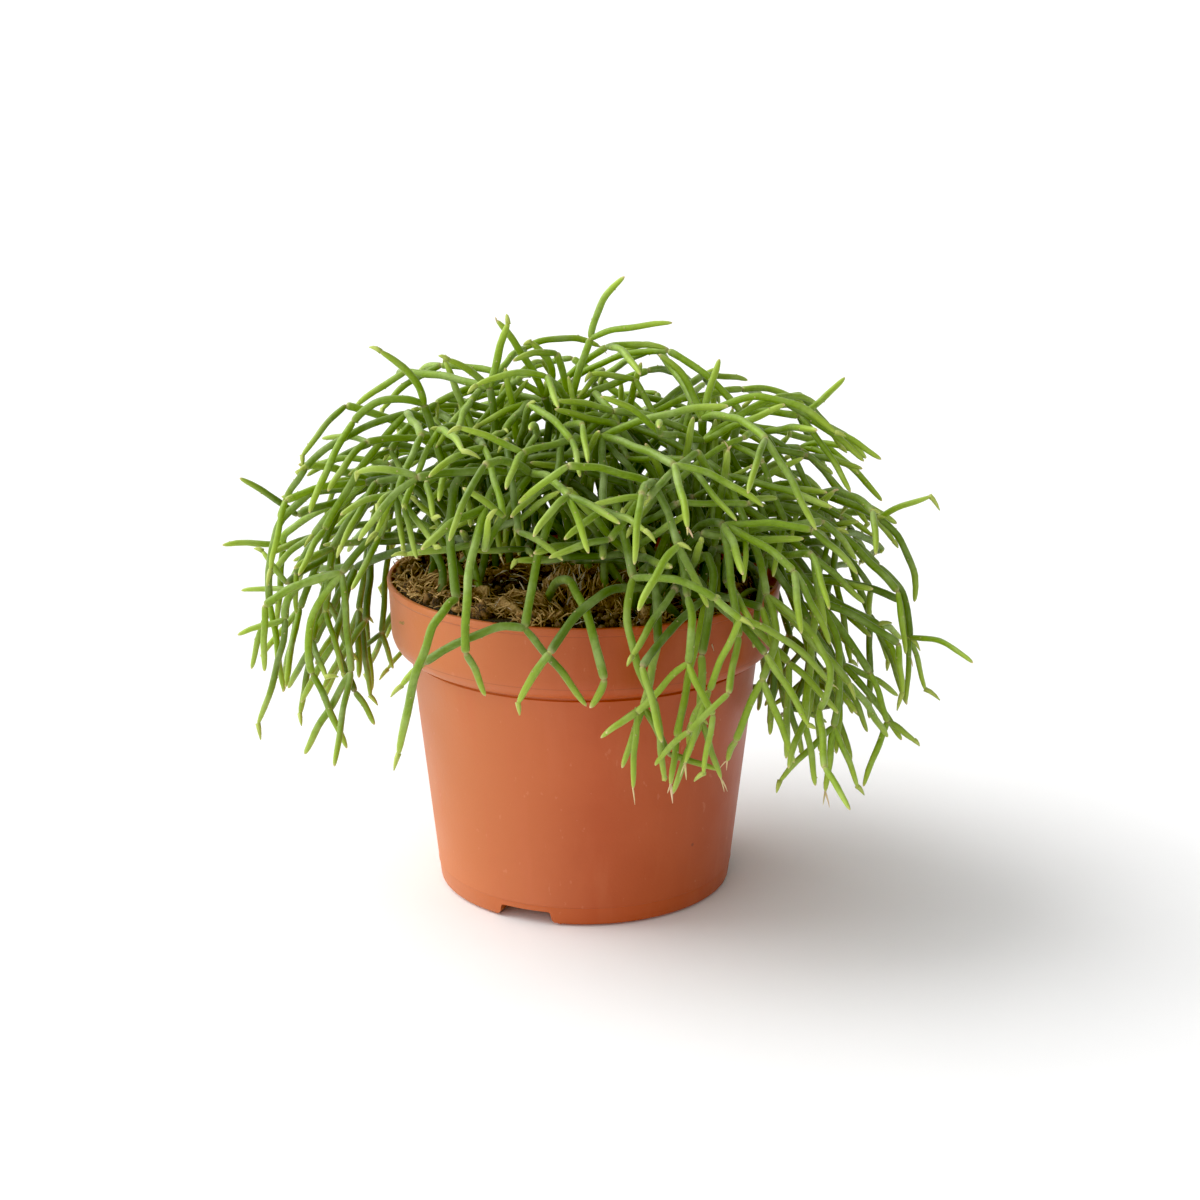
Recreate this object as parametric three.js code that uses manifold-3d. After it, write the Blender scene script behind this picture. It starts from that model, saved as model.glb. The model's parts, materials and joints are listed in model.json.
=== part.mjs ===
// A coral cactus in a round plastic nursery pot. Many cuttings of thin, round, branching stems stand in plugs
// of peat fibre; they rise, arch over the rim and hang on all sides, but leave a bare patch of soil at the
// front left. Millimetres, +Z up, +X to the right and -Y to the front. The origin is the middle of the pot's
// foot, on the surface that it stands on.

import * as THREE from "three";
import { mergeVertices } from "three/addons/utils/BufferGeometryUtils.js";
import Module from "manifold-3d";

const wasm = await Module();
wasm.setup();

// Driving dimensions
const POT_HEIGHT = 97;
const RIM_RADIUS = 60;
const FOOT_RADIUS = 45.2;
const WALL_TOP_RADIUS = 53.4;
const COLLAR_BOTTOM = 74.3;
const SKIRT_HEIGHT = 6.2;
const WALL = 1.4;
const SOIL_LEVEL = 90.5;
const GAP = 0.35; // clearance left between pieces that touch on the real plant

// Stem radius by order of branching, from the long first shoots to the short twigs at the ends
const STEM_RADIUS = [1.75, 1.7, 1.5, 1.35];

// Vectors are arrays of three numbers
const add = (a, b, s = 1) => [a[0] + b[0] * s, a[1] + b[1] * s, a[2] + b[2] * s];
const sub = (a, b) => add(a, b, -1);
const dot = (a, b) => a[0] * b[0] + a[1] * b[1] + a[2] * b[2];
const norm = (a) => Math.sqrt(dot(a, a));
const unit = (a) => a.map((c) => c / norm(a));
const cross = (a, b) => [
  a[1] * b[2] - a[2] * b[1],
  a[2] * b[0] - a[0] * b[2],
  a[0] * b[1] - a[1] * b[0],
];
const radiusOf = (p) => Math.sqrt(p[0] * p[0] + p[1] * p[1]);

// Solids

function solidOf(geometry) {
  geometry.deleteAttribute("normal");
  geometry.deleteAttribute("uv");
  const merged = mergeVertices(geometry.index ? geometry.toNonIndexed() : geometry, 1e-4);
  const triVerts = new Uint32Array(merged.index.array);
  const vertProperties = merged.attributes.position.array;
  const made = new wasm.Manifold(new wasm.Mesh({ numProp: 3, vertProperties, triVerts }));
  if (made.volume() > 0) return made;
  for (let i = 0; i < triVerts.length; i += 3) {
    [triVerts[i + 1], triVerts[i + 2]] = [triVerts[i + 2], triVerts[i + 1]];
  }
  return new wasm.Manifold(new wasm.Mesh({ numProp: 3, vertProperties, triVerts }));
}

// A solid without the crumbs and pinholes that cutting or joining may have left in it
const largestBody = (solid) => solid.decompose().sort((a, b) => b.volume() - a.volume())[0];

function meshOf(name, solid, material) {
  const { numProp, numVert, vertProperties, triVerts } = solid.getMesh();
  const positions = new Float32Array(numVert * 3);
  for (let i = 0; i < numVert; i++) {
    positions.set(vertProperties.subarray(i * numProp, i * numProp + 3), i * 3);
  }
  const geometry = new THREE.BufferGeometry()
    .setAttribute("position", new THREE.BufferAttribute(positions, 3))
    .setIndex(new THREE.BufferAttribute(triVerts, 1));
  geometry.computeVertexNormals();
  const mesh = new THREE.Mesh(geometry, material);
  mesh.name = name;
  return mesh;
}

// A profile of [radius, height] points, turned about the vertical axis
function revolve(profile, sectors) {
  const points = profile.map(([r, z]) => new THREE.Vector2(r, z));
  return new THREE.LatheGeometry(points, sectors).rotateX(Math.PI / 2);
}

// The corners of a stem's section at each of a row of points along it
const ASKEW = [0.31, 0.87, 0.39]; // a direction that no stem runs in, from which its first section is turned
function ringsAlong(points, radii, sides) {
  let across = unit(cross(sub(points[1], points[0]), ASKEW));
  return points.map((point, i) => {
    const along = unit(sub(points[Math.min(i + 1, points.length - 1)], points[Math.max(i - 1, 0)]));
    across = unit(sub(across, along.map((c) => c * dot(across, along))));
    const up = cross(along, across);
    return Array.from({ length: sides }, (_, k) => {
      const turn = (2 * Math.PI * k) / sides;
      const corner = add(add(point, across, radii[i] * Math.cos(turn)), up, radii[i] * Math.sin(turn));
      return corner.map(Math.fround);
    });
  });
}

// A tube of flat faces through rings of corners, closed flat at both ends
function tubeThrough(rings) {
  const sides = rings[0].length;
  const top = (rings.length - 1) * sides;
  const faces = [];
  for (let i = 0; i < top; i += sides) {
    for (let k = 0; k < sides; k++) {
      const next = (k + 1) % sides;
      faces.push(i + k, i + next, i + sides + next, i + k, i + sides + next, i + sides + k);
    }
  }
  for (let k = 1; k < sides - 1; k++) faces.push(0, k + 1, k, top, top + k, top + k + 1);
  const vertProperties = new Float32Array(rings.flat(2));
  const triVerts = new Uint32Array(faces);
  return new wasm.Manifold(new wasm.Mesh({ numProp: 3, vertProperties, triVerts }));
}

// Pot: an injection-moulded shell with a lip, a deep rounded collar, a tapering wall and a notched skirt

const POT_SECTORS = 36;
const INNER_WALL = [
  [RIM_RADIUS - WALL, POT_HEIGHT],
  [57.9, 84],
  [56.6, 79.8],
  [52.3, 75.4],
  [WALL_TOP_RADIUS - WALL, COLLAR_BOTTOM - 1],
  [FOOT_RADIUS - 0.5, SKIRT_HEIGHT + 1.2],
];
const NOTCH_HEIGHT = 4.3;
const NOTCH_WIDTH = 18;
const NOTCH_COUNT = 3;
const FIRST_NOTCH = THREE.MathUtils.degToRad(247);
const BASE_UNDERSIDE = NOTCH_HEIGHT + 0.3;
const DRAIN_HOLES = 6;
const DRAIN_RADIUS = 4;
const DRAIN_CIRCLE = 27;
const CUTTER = 12; // size of the blocks and rods that cut the notches and holes, across the wall

function makePot() {
  const profile = [
    [0, BASE_UNDERSIDE],
    [FOOT_RADIUS - 2.2, BASE_UNDERSIDE],
    [FOOT_RADIUS - 2, 0],
    [FOOT_RADIUS - 0.4, 0],
    [FOOT_RADIUS, 0.6],
    [FOOT_RADIUS + 0.7, SKIRT_HEIGHT],
    [FOOT_RADIUS + 1.1, SKIRT_HEIGHT + 0.3],
    [WALL_TOP_RADIUS, COLLAR_BOTTOM],
    [54.2, COLLAR_BOTTOM + 0.5],
    [57.2, 77.2],
    [59, 81.5],
    [RIM_RADIUS - 0.4, 94.8],
    [RIM_RADIUS, 95.4],
    [RIM_RADIUS, POT_HEIGHT],
    ...INNER_WALL,
    [FOOT_RADIUS - 1.6, SKIRT_HEIGHT],
    [0, SKIRT_HEIGHT],
  ];
  let pot = solidOf(revolve(profile, POT_SECTORS));
  for (let i = 0; i < NOTCH_COUNT; i++) {
    const turn = FIRST_NOTCH + (i * 2 * Math.PI) / NOTCH_COUNT;
    const notch = new THREE.BoxGeometry(CUTTER, NOTCH_WIDTH, 2 * NOTCH_HEIGHT)
      .translate(FOOT_RADIUS, 0, 0)
      .rotateZ(turn);
    pot = pot.subtract(solidOf(notch));
  }
  for (let i = 0; i < DRAIN_HOLES; i++) {
    const turn = ((i + 0.5) * 2 * Math.PI) / DRAIN_HOLES;
    const hole = new THREE.CylinderGeometry(DRAIN_RADIUS, DRAIN_RADIUS, CUTTER, 8)
      .rotateX(Math.PI / 2)
      .translate(DRAIN_CIRCLE * Math.cos(turn), DRAIN_CIRCLE * Math.sin(turn), BASE_UNDERSIDE);
    pot = pot.subtract(solidOf(hole));
  }
  return pot;
}

// Soil, and the plugs of peat fibre that the cuttings were rooted in. A plug is a squashed lump, half sunk.

const PLUGS = [
  { name: "fibre_plug_left", at: [-40, -19], radius: 13.5, top: 101 },
  { name: "fibre_plug_front_left", at: [-19, -35], radius: 14, top: 99 },
  { name: "fibre_plug_front", at: [1, -15], radius: 14, top: 104 },
  { name: "fibre_plug_front_right", at: [25, -34], radius: 14, top: 98 },
  { name: "fibre_plug_right", at: [38, 0], radius: 15, top: 99 },
  { name: "fibre_plug_back", at: [10, 33], radius: 16, top: 99 },
  { name: "fibre_plug_back_left", at: [-26, 18], radius: 16, top: 100 },
];
const PLUG_DEPTH = 22;
const PLUG_LUMPS = 0.05; // how deep the hollows in a plug's surface are, as a share of its size
const SOIL_SECTORS = 24;
const SOIL_BANDS = [1, 0.8, 0.5, 0]; // rings of the soil's surface, as shares of its radius
const SOIL_CROWN = 2.5; // rise of the soil in the middle of the pot
const CROWN_AREA = 3300; // square of the radius at which that rise has died away

const soilHeight = (x, y) =>
  SOIL_LEVEL +
  SOIL_CROWN * (1 - (x * x + y * y) / CROWN_AREA) +
  0.9 * Math.sin(0.23 * x + 1) * Math.cos(0.27 * y) +
  0.6 * Math.sin(0.61 * x) * Math.sin(0.53 * y + 2);

function plugHeight(plug, x, y) {
  const [dx, dy] = [(x - plug.at[0]) / plug.radius, (y - plug.at[1]) / plug.radius];
  const inside = 1 - dx * dx - dy * dy;
  return inside > 0 ? plug.top - (PLUG_DEPTH / 2) * (1 - Math.sqrt(inside)) : 0;
}

const groundHeight = (x, y) =>
  Math.max(soilHeight(x, y), ...PLUGS.map((plug) => plugHeight(plug, x, y)));

// A squashed ball with a lumpy surface, grown outwards by an allowance where it cuts its seat in the soil
function makePlug(plug, allowance) {
  const ball = new THREE.IcosahedronGeometry(1, 1);
  const p = ball.attributes.position;
  for (let i = 0; i < p.count; i++) {
    const [x, y, z] = [p.getX(i), p.getY(i), p.getZ(i)];
    const lump = 1 - PLUG_LUMPS * (1 + Math.sin(5 * x + 3 * plug.at[0]) * Math.sin(4 * y + plug.at[1]));
    const across = plug.radius * lump + allowance;
    const tall = (PLUG_DEPTH / 2) * lump + allowance;
    p.setXYZ(i, plug.at[0] + x * across, plug.at[1] + y * across, plug.top - PLUG_DEPTH / 2 + z * tall);
  }
  return solidOf(ball);
}

// A block that fills the pot to the soil level, with its upper rings moved to the uneven surface
function makeSoil() {
  const side = INNER_WALL.slice(1).reverse().map(([r, z]) => [r - 1.3 * GAP, z]);
  const floor = SKIRT_HEIGHT + GAP;
  const brim = side[side.length - 1][0];
  const surface = SOIL_BANDS.map((share) => [share * brim, SOIL_LEVEL]);
  const turned = revolve([[0, floor], [side[0][0] - 1.3, floor], ...side, ...surface], SOIL_SECTORS);
  const p = turned.attributes.position;
  for (let i = 0; i < p.count; i++) {
    if (p.getZ(i) > SOIL_LEVEL - 0.01) p.setZ(i, soilHeight(p.getX(i), p.getY(i)));
  }
  return solidOf(turned);
}

// Stems. A run is one stem segment, a quadratic curve from a joint to its tip. Runs that grow from one
// cutting are one spray. Each run is drawn again until it lies clear of all that have grown before it.

const SAMPLE_STEP = 1.6; // distance between the points of a run that are tested
const CLEARANCE = 0.5;
const JOINT_FREE = 8; // runs of one spray may touch this close to the joint that they share
const ROOT_FREE = 6; // a first shoot may touch the ground this close to its root
const ROOT_LIFT = 1.5; // how far above the ground the curve of a first shoot starts
const PEG_LENGTH = 9; // the straight stretch below it, which stands in the plug
const ROOTED_RADIUS = 53; // pegs stay within this radius, clear of the pot's wall
const ROOTED_SHARE = 0.8; // and within this share of their plug's radius
const MOST_TRIES = 70;
const samples = []; // [x, y, z, radius, spray] of every run so far
const sprays = [];

let drawState = 164;
function draw(low = 0, high = 1) {
  drawState = (Math.imul(drawState, 1664525) + 1013904223) >>> 0;
  return low + ((high - low) * drawState) / 4294967296;
}

const curve = ([a, b, c], t) => {
  const [u, v, w] = [(1 - t) * (1 - t), 2 * t * (1 - t), t * t];
  return [a[0] * u + b[0] * v + c[0] * w, a[1] * u + b[1] * v + c[1] * w, a[2] * u + b[2] * v + c[2] * w];
};

// Close to the true length: the mean of the chord and of the two legs
const lengthOf = ([a, b, c]) => 0.5 * (norm(sub(b, a)) + norm(sub(c, b)) + norm(sub(c, a)));

function samplesOf(bends) {
  const count = Math.ceil(lengthOf(bends) / SAMPLE_STEP);
  return Array.from({ length: count + 1 }, (_, i) => curve(bends, i / count));
}

// The radius that stems keep outside of, beside the pot: that of the rim down to just below the collar
const WALL_SLOPE = (WALL_TOP_RADIUS - FOOT_RADIUS) / COLLAR_BOTTOM;
const outerWall = (z) => (z > COLLAR_BOTTOM - 2 ? RIM_RADIUS : FOOT_RADIUS + 1.2 + WALL_SLOPE * z);

// True where a point of a stem lies clear of the pot, the soil and the plugs
function clearOfPot(point, radius, fromRoot) {
  const room = radius + CLEARANCE;
  const out = radiusOf(point);
  if (out > RIM_RADIUS - 2 * WALL - radius) {
    return point[2] > POT_HEIGHT + room || out > outerWall(point[2]) + room;
  }
  return fromRoot < ROOT_FREE || point[2] > groundHeight(point[0], point[1]) + room;
}

// True where no sample of another run comes too near. A run may touch its own spray at the joint that it
// starts from.
function clearOfStems(path, radius, spray) {
  const margin = radius + STEM_RADIUS[0] + CLEARANCE;
  const low = [0, 1, 2].map((k) => Math.min(...path.map((p) => p[k])) - margin);
  const high = [0, 1, 2].map((k) => Math.max(...path.map((p) => p[k])) + margin);
  const near = samples.filter((s) => [0, 1, 2].every((k) => s[k] >= low[k] && s[k] <= high[k]));
  return near.every((s) => {
    const own = s[4] === spray;
    const least = radius + s[3] + (own ? 0 : CLEARANCE);
    const joint = sub(s, path[0]);
    if (own && dot(joint, joint) < JOINT_FREE * JOINT_FREE) return true;
    return path.every((p) => {
      const [dx, dy, dz] = [p[0] - s[0], p[1] - s[1], p[2] - s[2]];
      return dx * dx + dy * dy + dz * dz >= least * least;
    });
  });
}

const pegEnd = (bends, extra = 0) => add(bends[0], unit(sub(bends[0], bends[1])), PEG_LENGTH + extra);

// Draws a run up to MOST_TRIES times and keeps the first that is clear, or none. propose(i) gives its bends.
function grow(spray, parent, propose, allowed) {
  const order = parent ? Math.min(parent.order + 1, STEM_RADIUS.length - 1) : 0;
  const radius = STEM_RADIUS[order];
  for (let i = 0; i < MOST_TRIES; i++) {
    const bends = propose(i);
    if (!bends || (!parent && radiusOf(pegEnd(bends)) > ROOTED_RADIUS)) continue;
    const path = samplesOf(bends);
    const fromRoot = (k) => (parent ? Infinity : k * SAMPLE_STEP);
    if (!path.every((p, k) => clearOfPot(p, radius, fromRoot(k)) && allowed(p))) continue;
    const whole = parent ? path : [...samplesOf([pegEnd(bends), bends[0], bends[0]]), ...path];
    if (!clearOfStems(whole, radius, spray)) continue;
    samples.push(...whole.map((p) => [...p, radius, spray]));
    const run = { bends, parent, order, radius, spray };
    spray.runs.push(run);
    return run;
  }
  return null;
}

// The middle bend of a curve that passes through a point half way
const bendThrough = (start, middle, end) => middle.map((c, k) => 2 * c - (start[k] + end[k]) / 2);

// A draw of a root in the middle part of a plug, a little above its surface
function rootIn(plug) {
  const turn = draw(0, 2 * Math.PI);
  const out = ROOTED_SHARE * plug.radius * Math.sqrt(draw());
  const [x, y] = [plug.at[0] + out * Math.cos(turn), plug.at[1] + out * Math.sin(turn)];
  return [x, y, groundHeight(x, y) + ROOT_LIFT];
}

// Leading sprays: the stems that give the plant its outline and those that hang in front of the pot. Each
// run is [parent run, via point or null, tip]. A parent of -1 is the plug, and a null via lets the run bow
// by itself.
const LEADERS = [
  { name: "trailer_front_left", plug: 2, runs: [
    [-1, [-32, -32, 137], [-35, -64, 107]],
    [0, [-43, -76, 97], [-52, -67, 62]],
  ] },
  { name: "trailer_front_middle", plug: 2, runs: [
    [-1, [-17, -18, 130], [-27, -52, 130]],
    [0, [-31, -69, 116], [-32, -76, 95]],
    [1, null, [-27, -71, 81]],
  ] },
  { name: "trailer_front_forked", plug: 2, runs: [
    [-1, [-7, -40, 127], [-16, -70, 100]],
    [0, [-27, -72, 100], [-44, -69, 90]],
    [1, null, [-51, -66, 82]],
    [0, [-8, -72, 91], [1, -68, 77]],
  ] },
  { name: "trailer_front_low", plug: 3, runs: [
    [-1, [8, -56, 107], [-9, -76, 95]],
    [0, null, [-18, -73, 80]],
  ] },
  { name: "trailer_front_short", plug: 1, runs: [
    [-1, [-2, -60, 104], [6, -69, 86]],
    [0, null, [2, -68, 78]],
  ] },
  { name: "trailer_right_forked", plug: 2, runs: [
    [-1, [8, -34, 125], [14, -60, 112]],
    [0, [13, -70, 98], [20, -72, 80]],
    [1, null, [23, -68, 55]],
    [1, null, [5, -72, 69]],
    [0, [26, -74, 115], [36, -78, 111]],
    [4, null, [43, -77, 105]],
    [5, [57, -73, 97], [69, -66, 83]],
    [5, null, [35, -75, 84]],
  ] },
  { name: "trailer_right_inner", plug: 3, runs: [
    [-1, [25, -42, 121], [29, -66, 108]],
    [0, [30, -74, 102], [29, -75, 92]],
    [1, null, [36, -77, 78]],
    [1, null, [15, -77, 78]],
  ] },
  { name: "trailer_right_long", plug: 3, runs: [
    [-1, [19, -50, 112], [21, -65, 94]],
    [0, null, [17, -66, 76]],
    [1, null, [11, -69, 59]],
    [1, null, [24, -66, 62]],
  ] },
  { name: "trailer_right_outer", plug: 3, runs: [
    [-1, [36, -48, 114], [33, -68, 92]],
    [0, null, [33, -70, 73]],
    [1, null, [39, -67, 55]],
    [1, null, [25, -74, 53]],
  ] },
  { name: "trailer_corner_right", plug: 4, runs: [
    [-1, [46, -26, 120], [52, -50, 104]],
    [0, [54, -60, 96], [50, -66, 84]],
    [1, null, [60, -62, 58]],
    [1, null, [43, -66, 66]],
    [0, [64, -62, 92], [66, -74, 76]],
    [4, null, [66, -88, 66]],
    [5, null, [72, -99, 58]],
  ] },
  { name: "crown_tall", plug: 2, runs: [
    [-1, [-6, 4, 128], [-4, 0, 150]],
    [0, null, [2, 0, 169]],
    [1, [5, 0, 179], [12, -4, 188]],
    [1, [12, -5, 173], [26, -8, 175]],
    [0, null, [-8, -8, 166]],
  ] },
  { name: "crown_left", plug: 0, runs: [
    [-1, [-26, -8, 128], [-28, -4, 155]],
    [0, null, [-22, -6, 175]],
    [0, [-34, -8, 161], [-40, -12, 165]],
  ] },
  { name: "crown_left_back", plug: 6, runs: [
    [-1, [-14, 12, 128], [-12, 8, 150]],
    [0, [-18, 5, 163], [-26, 3, 174]],
    [0, [-10, 2, 160], [-16, -4, 169]],
  ] },
  { name: "crown_far_left", plug: 0, runs: [
    [-1, [-40, -12, 128], [-47, -10, 151]],
    [0, [-50, -14, 160], [-59, -20, 169]],
    [0, [-58, -12, 153], [-68, -10, 146]],
  ] },
  { name: "crown_right", plug: 4, runs: [
    [-1, [33, -8, 126], [35, -10, 147]],
    [0, [54, -14, 154], [74, -18, 144]],
    [0, null, [40, -6, 164]],
    [0, [30, -8, 158], [22, -10, 166]],
  ] },
  { name: "crown_far_right", plug: 4, runs: [
    [-1, [42, -2, 130], [47, -2, 147]],
    [0, null, [64, -6, 147]],
    [1, null, [88, -12, 135]],
    [1, [72, -2, 152], [78, 2, 157]],
  ] },
  { name: "arch_left", plug: 0, runs: [
    [-1, [-48, -12, 124], [-65, -8, 127]],
    [0, [-88, -12, 119], [-94, -16, 92]],
    [1, null, [-90, -22, 66]],
    [1, null, [-101, -12, 70]],
  ] },
  { name: "arch_left_high", plug: 6, runs: [
    [-1, [-40, 14, 132], [-53, -2, 147]],
    [0, [-71, -9, 141], [-82, -14, 133]],
    [1, null, [-92, -6, 116]],
  ] },
  { name: "arch_left_far", plug: 6, runs: [
    [-1, [-50, 18, 121], [-74, 6, 118]],
    [0, null, [-87, 0, 115]],
    [1, null, [-103, -6, 128]],
    [0, [-90, 14, 108], [-94, 18, 101]],
    [3, null, [-112.5, 14, 102]],
    [3, null, [-97, 16, 74]],
  ] },
  { name: "hanger_left", plug: 0, runs: [
    [-1, [-52, -18, 118], [-71, -26, 104]],
    [0, [-80, -30, 90], [-80, -32, 75]],
    [1, null, [-70, -36, 53]],
    [0, [-85, -20, 98], [-89, -20, 88]],
    [3, null, [-103, -22, 84]],
    [3, [-91, -22, 76], [-98, -24, 56]],
  ] },
  { name: "hanger_left_low", plug: 0, runs: [
    [-1, [-52, -8, 113], [-70, -12, 98]],
    [0, null, [-75, -18, 80]],
    [1, null, [-68, -28, 68]],
    [2, null, [-62, -32, 59]],
    [1, null, [-86, -14, 60]],
  ] },
  { name: "arch_right", plug: 4, runs: [
    [-1, [56, -12, 120], [76, -14, 113]],
    [0, null, [88, -14, 103]],
    [1, [95, -20, 95], [97, -22, 83]],
    [2, [105, -34, 85], [112.5, -44, 82]],
    [2, null, [96, -27, 64]],
    [2, null, [103, -18, 65]],
  ] },
  { name: "arch_right_high", plug: 4, runs: [
    [-1, [52, 2, 124], [72, 0, 120]],
    [0, null, [89, -3, 115]],
    [1, [95, -6, 119], [104, -8, 123]],
    [1, [98, -6, 104], [100, -8, 90]],
  ] },
  { name: "arch_back", plug: 5, runs: [
    [-1, [6, 52, 121], [8, 72, 108]],
    [0, [6, 86, 98], [2, 90, 82]],
    [0, [14, 84, 107], [20, 98.8, 98]],
    [2, null, [30, 96, 78]],
    [1, null, [-8, 92, 58]],
  ] },
  { name: "hanger_right", plug: 4, runs: [
    [-1, [52, -20, 114], [68, -34, 98]],
    [0, [74, -41, 84], [73, -42, 62]],
    [1, null, [57, -46, 46]],
    [1, null, [71, -43, 42]],
    [1, null, [81, -40, 42]],
    [0, null, [84, -34, 76]],
    [5, null, [90, -32, 60]],
    [6, null, [83, -36, 41]],
    [6, null, [99, -30, 53]],
  ] },
];

const OWN_BOW = 0.07; // rise of a run that bows by itself, as a share of its length
const STEEPEST_START = 0.55; // least upward part of a leader's first direction
const VIA_SHIFT = [0.12, 0.5, 0.2]; // how far a leader's via point and tip move with each try
const TIP_SHIFT = [0, 0.3, 0];
const shiftBy = (amounts, attempt) => amounts.map((amount) => amount * attempt * draw(-1, 1));

function growLeader(leader) {
  const spray = { name: leader.name, runs: [] };
  const grown = [];
  for (const [parentIndex, via, tip] of leader.runs) {
    const parent = parentIndex < 0 ? null : grown[parentIndex];
    if (parentIndex >= 0 && !parent) {
      grown.push(null);
      continue;
    }
    const run = grow(spray, parent, (attempt) => {
      const start = parent ? parent.bends[2] : rootIn(PLUGS[leader.plug]);
      const shift = shiftBy(VIA_SHIFT, attempt);
      const end = add(tip, shiftBy(TIP_SHIFT, attempt));
      if (!via) {
        const middle = add(start, sub(end, start), 0.5);
        middle[2] += OWN_BOW * norm(sub(end, start));
        return [start, add(middle, shift), end];
      }
      const bend = bendThrough(start, add(via, shift), end);
      return parent || unit(sub(bend, start))[2] > STEEPEST_START ? [start, bend, end] : null;
    }, () => true);
    grown.push(run);
  }
  if (grown[0]) sprays.push(spray);
}

// Where the stems that grow by rule may go: under a dome, above the hem of the hanging fringe, and out of the
// bare places, which are the soil at the front left and the front of the pot
const DOME = { across: 100, deep: 92, tall: 76, springs: 92 };
const HEM_HEIGHT = 45;
const FRINGE_HEIGHT = 62;
const CORNER_FRINGE_HEIGHT = 86;

function withinPlant([x, y, z]) {
  const plan = Math.sqrt((x / DOME.across) ** 2 + (y / DOME.deep) ** 2);
  const rise = Math.max(z - DOME.springs, 0) / DOME.tall;
  if (plan * plan * Math.sqrt(plan) + rise * rise > 1) return false;
  if (z < HEM_HEIGHT + 6 * Math.sin(0.07 * x) * Math.cos(0.06 * y)) return false;
  const overSoil = x > -62 && x < 13 && y < -4 && z < 100 - 0.28 * y;
  const fringe = x < 40 ? FRINGE_HEIGHT : CORNER_FRINGE_HEIGHT;
  const beforePot = x > 12 && x < 54 && y < -30 && z < fringe;
  return !overSoil && !beforePot;
}

// A direction tilted from another by an angle, turned round it by another
function tilted(direction, tilt, turn) {
  const across = unit(cross(direction, Math.abs(direction[2]) < 0.9 ? [0, 0, 1] : [1, 0, 0]));
  const up = cross(across, direction);
  const side = add(across.map((c) => c * Math.cos(turn)), up, Math.sin(turn));
  return unit(add(direction.map((c) => c * Math.cos(tilt)), side, Math.sin(tilt)));
}

const PLACES = 44;
const GOLDEN_ANGLE = Math.PI * (3 - Math.sqrt(5));

// A first shoot to one of a spiral of places round the dome, from its crown to where it hangs over the rim
function growFirstShoot(place) {
  const fall = Math.acos(0.98 - (1.06 * place) / PLACES);
  const spray = { name: `spray_${String(place + 1).padStart(2, "0")}`, runs: [] };
  const shoot = grow(spray, null, () => {
    const turn = place * GOLDEN_ANGLE + draw(-0.2, 0.2);
    const reach = draw(0.62, 0.8);
    const out = reach * Math.sin(fall);
    const up = DOME.springs + reach * DOME.tall * Math.cos(fall);
    const joint = [DOME.across * out * Math.cos(turn), DOME.deep * out * Math.sin(turn), up];
    const start = rootIn(nearestPlug(0.55 * joint[0], 0.55 * joint[1]));
    const across = draw(0.15, 0.45);
    const rise = draw(0.35, 0.7) * norm([joint[0] - start[0], joint[1] - start[1], 0]);
    const bend = start.map((c, k) => c + across * (joint[k] - c));
    bend[2] = Math.max(0.5 * (start[2] + joint[2]), joint[2] - 12) + rise;
    return [start, bend, joint];
  }, withinPlant);
  if (shoot) sprays.push(spray);
  return shoot;
}

function nearestPlug(x, y) {
  const away = (plug) => norm([plug.at[0] - x, plug.at[1] - y, 0]) * draw(0.6, 1);
  const far = PLUGS.map(away);
  return PLUGS[far.indexOf(Math.min(...far))];
}

// How many runs fork from a tip, how long they are, how far they spread and how much they droop, by order
const FORKS = [
  null,
  { count: [3.5, 5.5], length: [25, 44], spread: [0.35, 1.15], droop: [0, 0.6] },
  { count: [1.5, 3.5], length: [17, 34], spread: [0.3, 0.9], droop: [0.1, 0.9] },
];

function fork(parent, place) {
  const rule = FORKS[parent.order + 1];
  const start = parent.bends[2];
  const heading = unit(sub(start, parent.bends[1]));
  return grow(parent.spray, parent, () => {
    const length = draw(...rule.length);
    const way = tilted(heading, draw(...rule.spread), place + draw(-0.7, 0.7));
    const bend = add(start, way, 0.5 * length);
    const low = unit(add(way, [0, 0, -draw(...rule.droop)]));
    return [start, bend, add(bend, low, 0.5 * length)];
  }, withinPlant);
}

// Forks every parent, with some fewer runs where it has its own already
function forkAll(parents, fewer) {
  const grown = [];
  for (const parent of parents) {
    const count = Math.round(draw(...FORKS[parent.order + 1].count)) - fewer;
    const turn = draw(0, 2 * Math.PI);
    for (let k = 0; k < count; k++) grown.push(fork(parent, turn + (2 * Math.PI * k) / count));
  }
  return grown.filter(Boolean);
}

// Leaders fork further by rule too, except in front of the pot, where only their own runs hang
function growPlant() {
  LEADERS.forEach(growLeader);
  const behindFront = sprays.flatMap((spray) => spray.runs).filter((run) => run.bends[2][1] > -RIM_RADIUS);
  const leaderShoots = behindFront.filter((run) => run.order === 0);
  const leaderTwigs = behindFront.filter((run, i) => run.order === 1 && i % 3 === 0);
  const shoots = Array.from({ length: PLACES }, (_, place) => growFirstShoot(place)).filter(Boolean);
  const twigs = [...forkAll(shoots, 0), ...forkAll(leaderShoots, 2)];
  forkAll([...twigs, ...leaderTwigs], 0);
}

// One spray as a solid. Each run is a tube of few sides. A knot joins a tip to the runs that fork from it: it
// is the hull of the tip's last section and their first ones, which lie a little way out from the joint.
const SIDES = [4, 3, 3, 3];
const SPAN_LENGTH = 15;
const KNOT_BEFORE = 1;
const KNOT_AFTER = 3;
const TIP_SHARE = 0.6;

const spansOf = (length) => Math.max(2, Math.min(6, Math.round(length / SPAN_LENGTH)));

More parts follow.
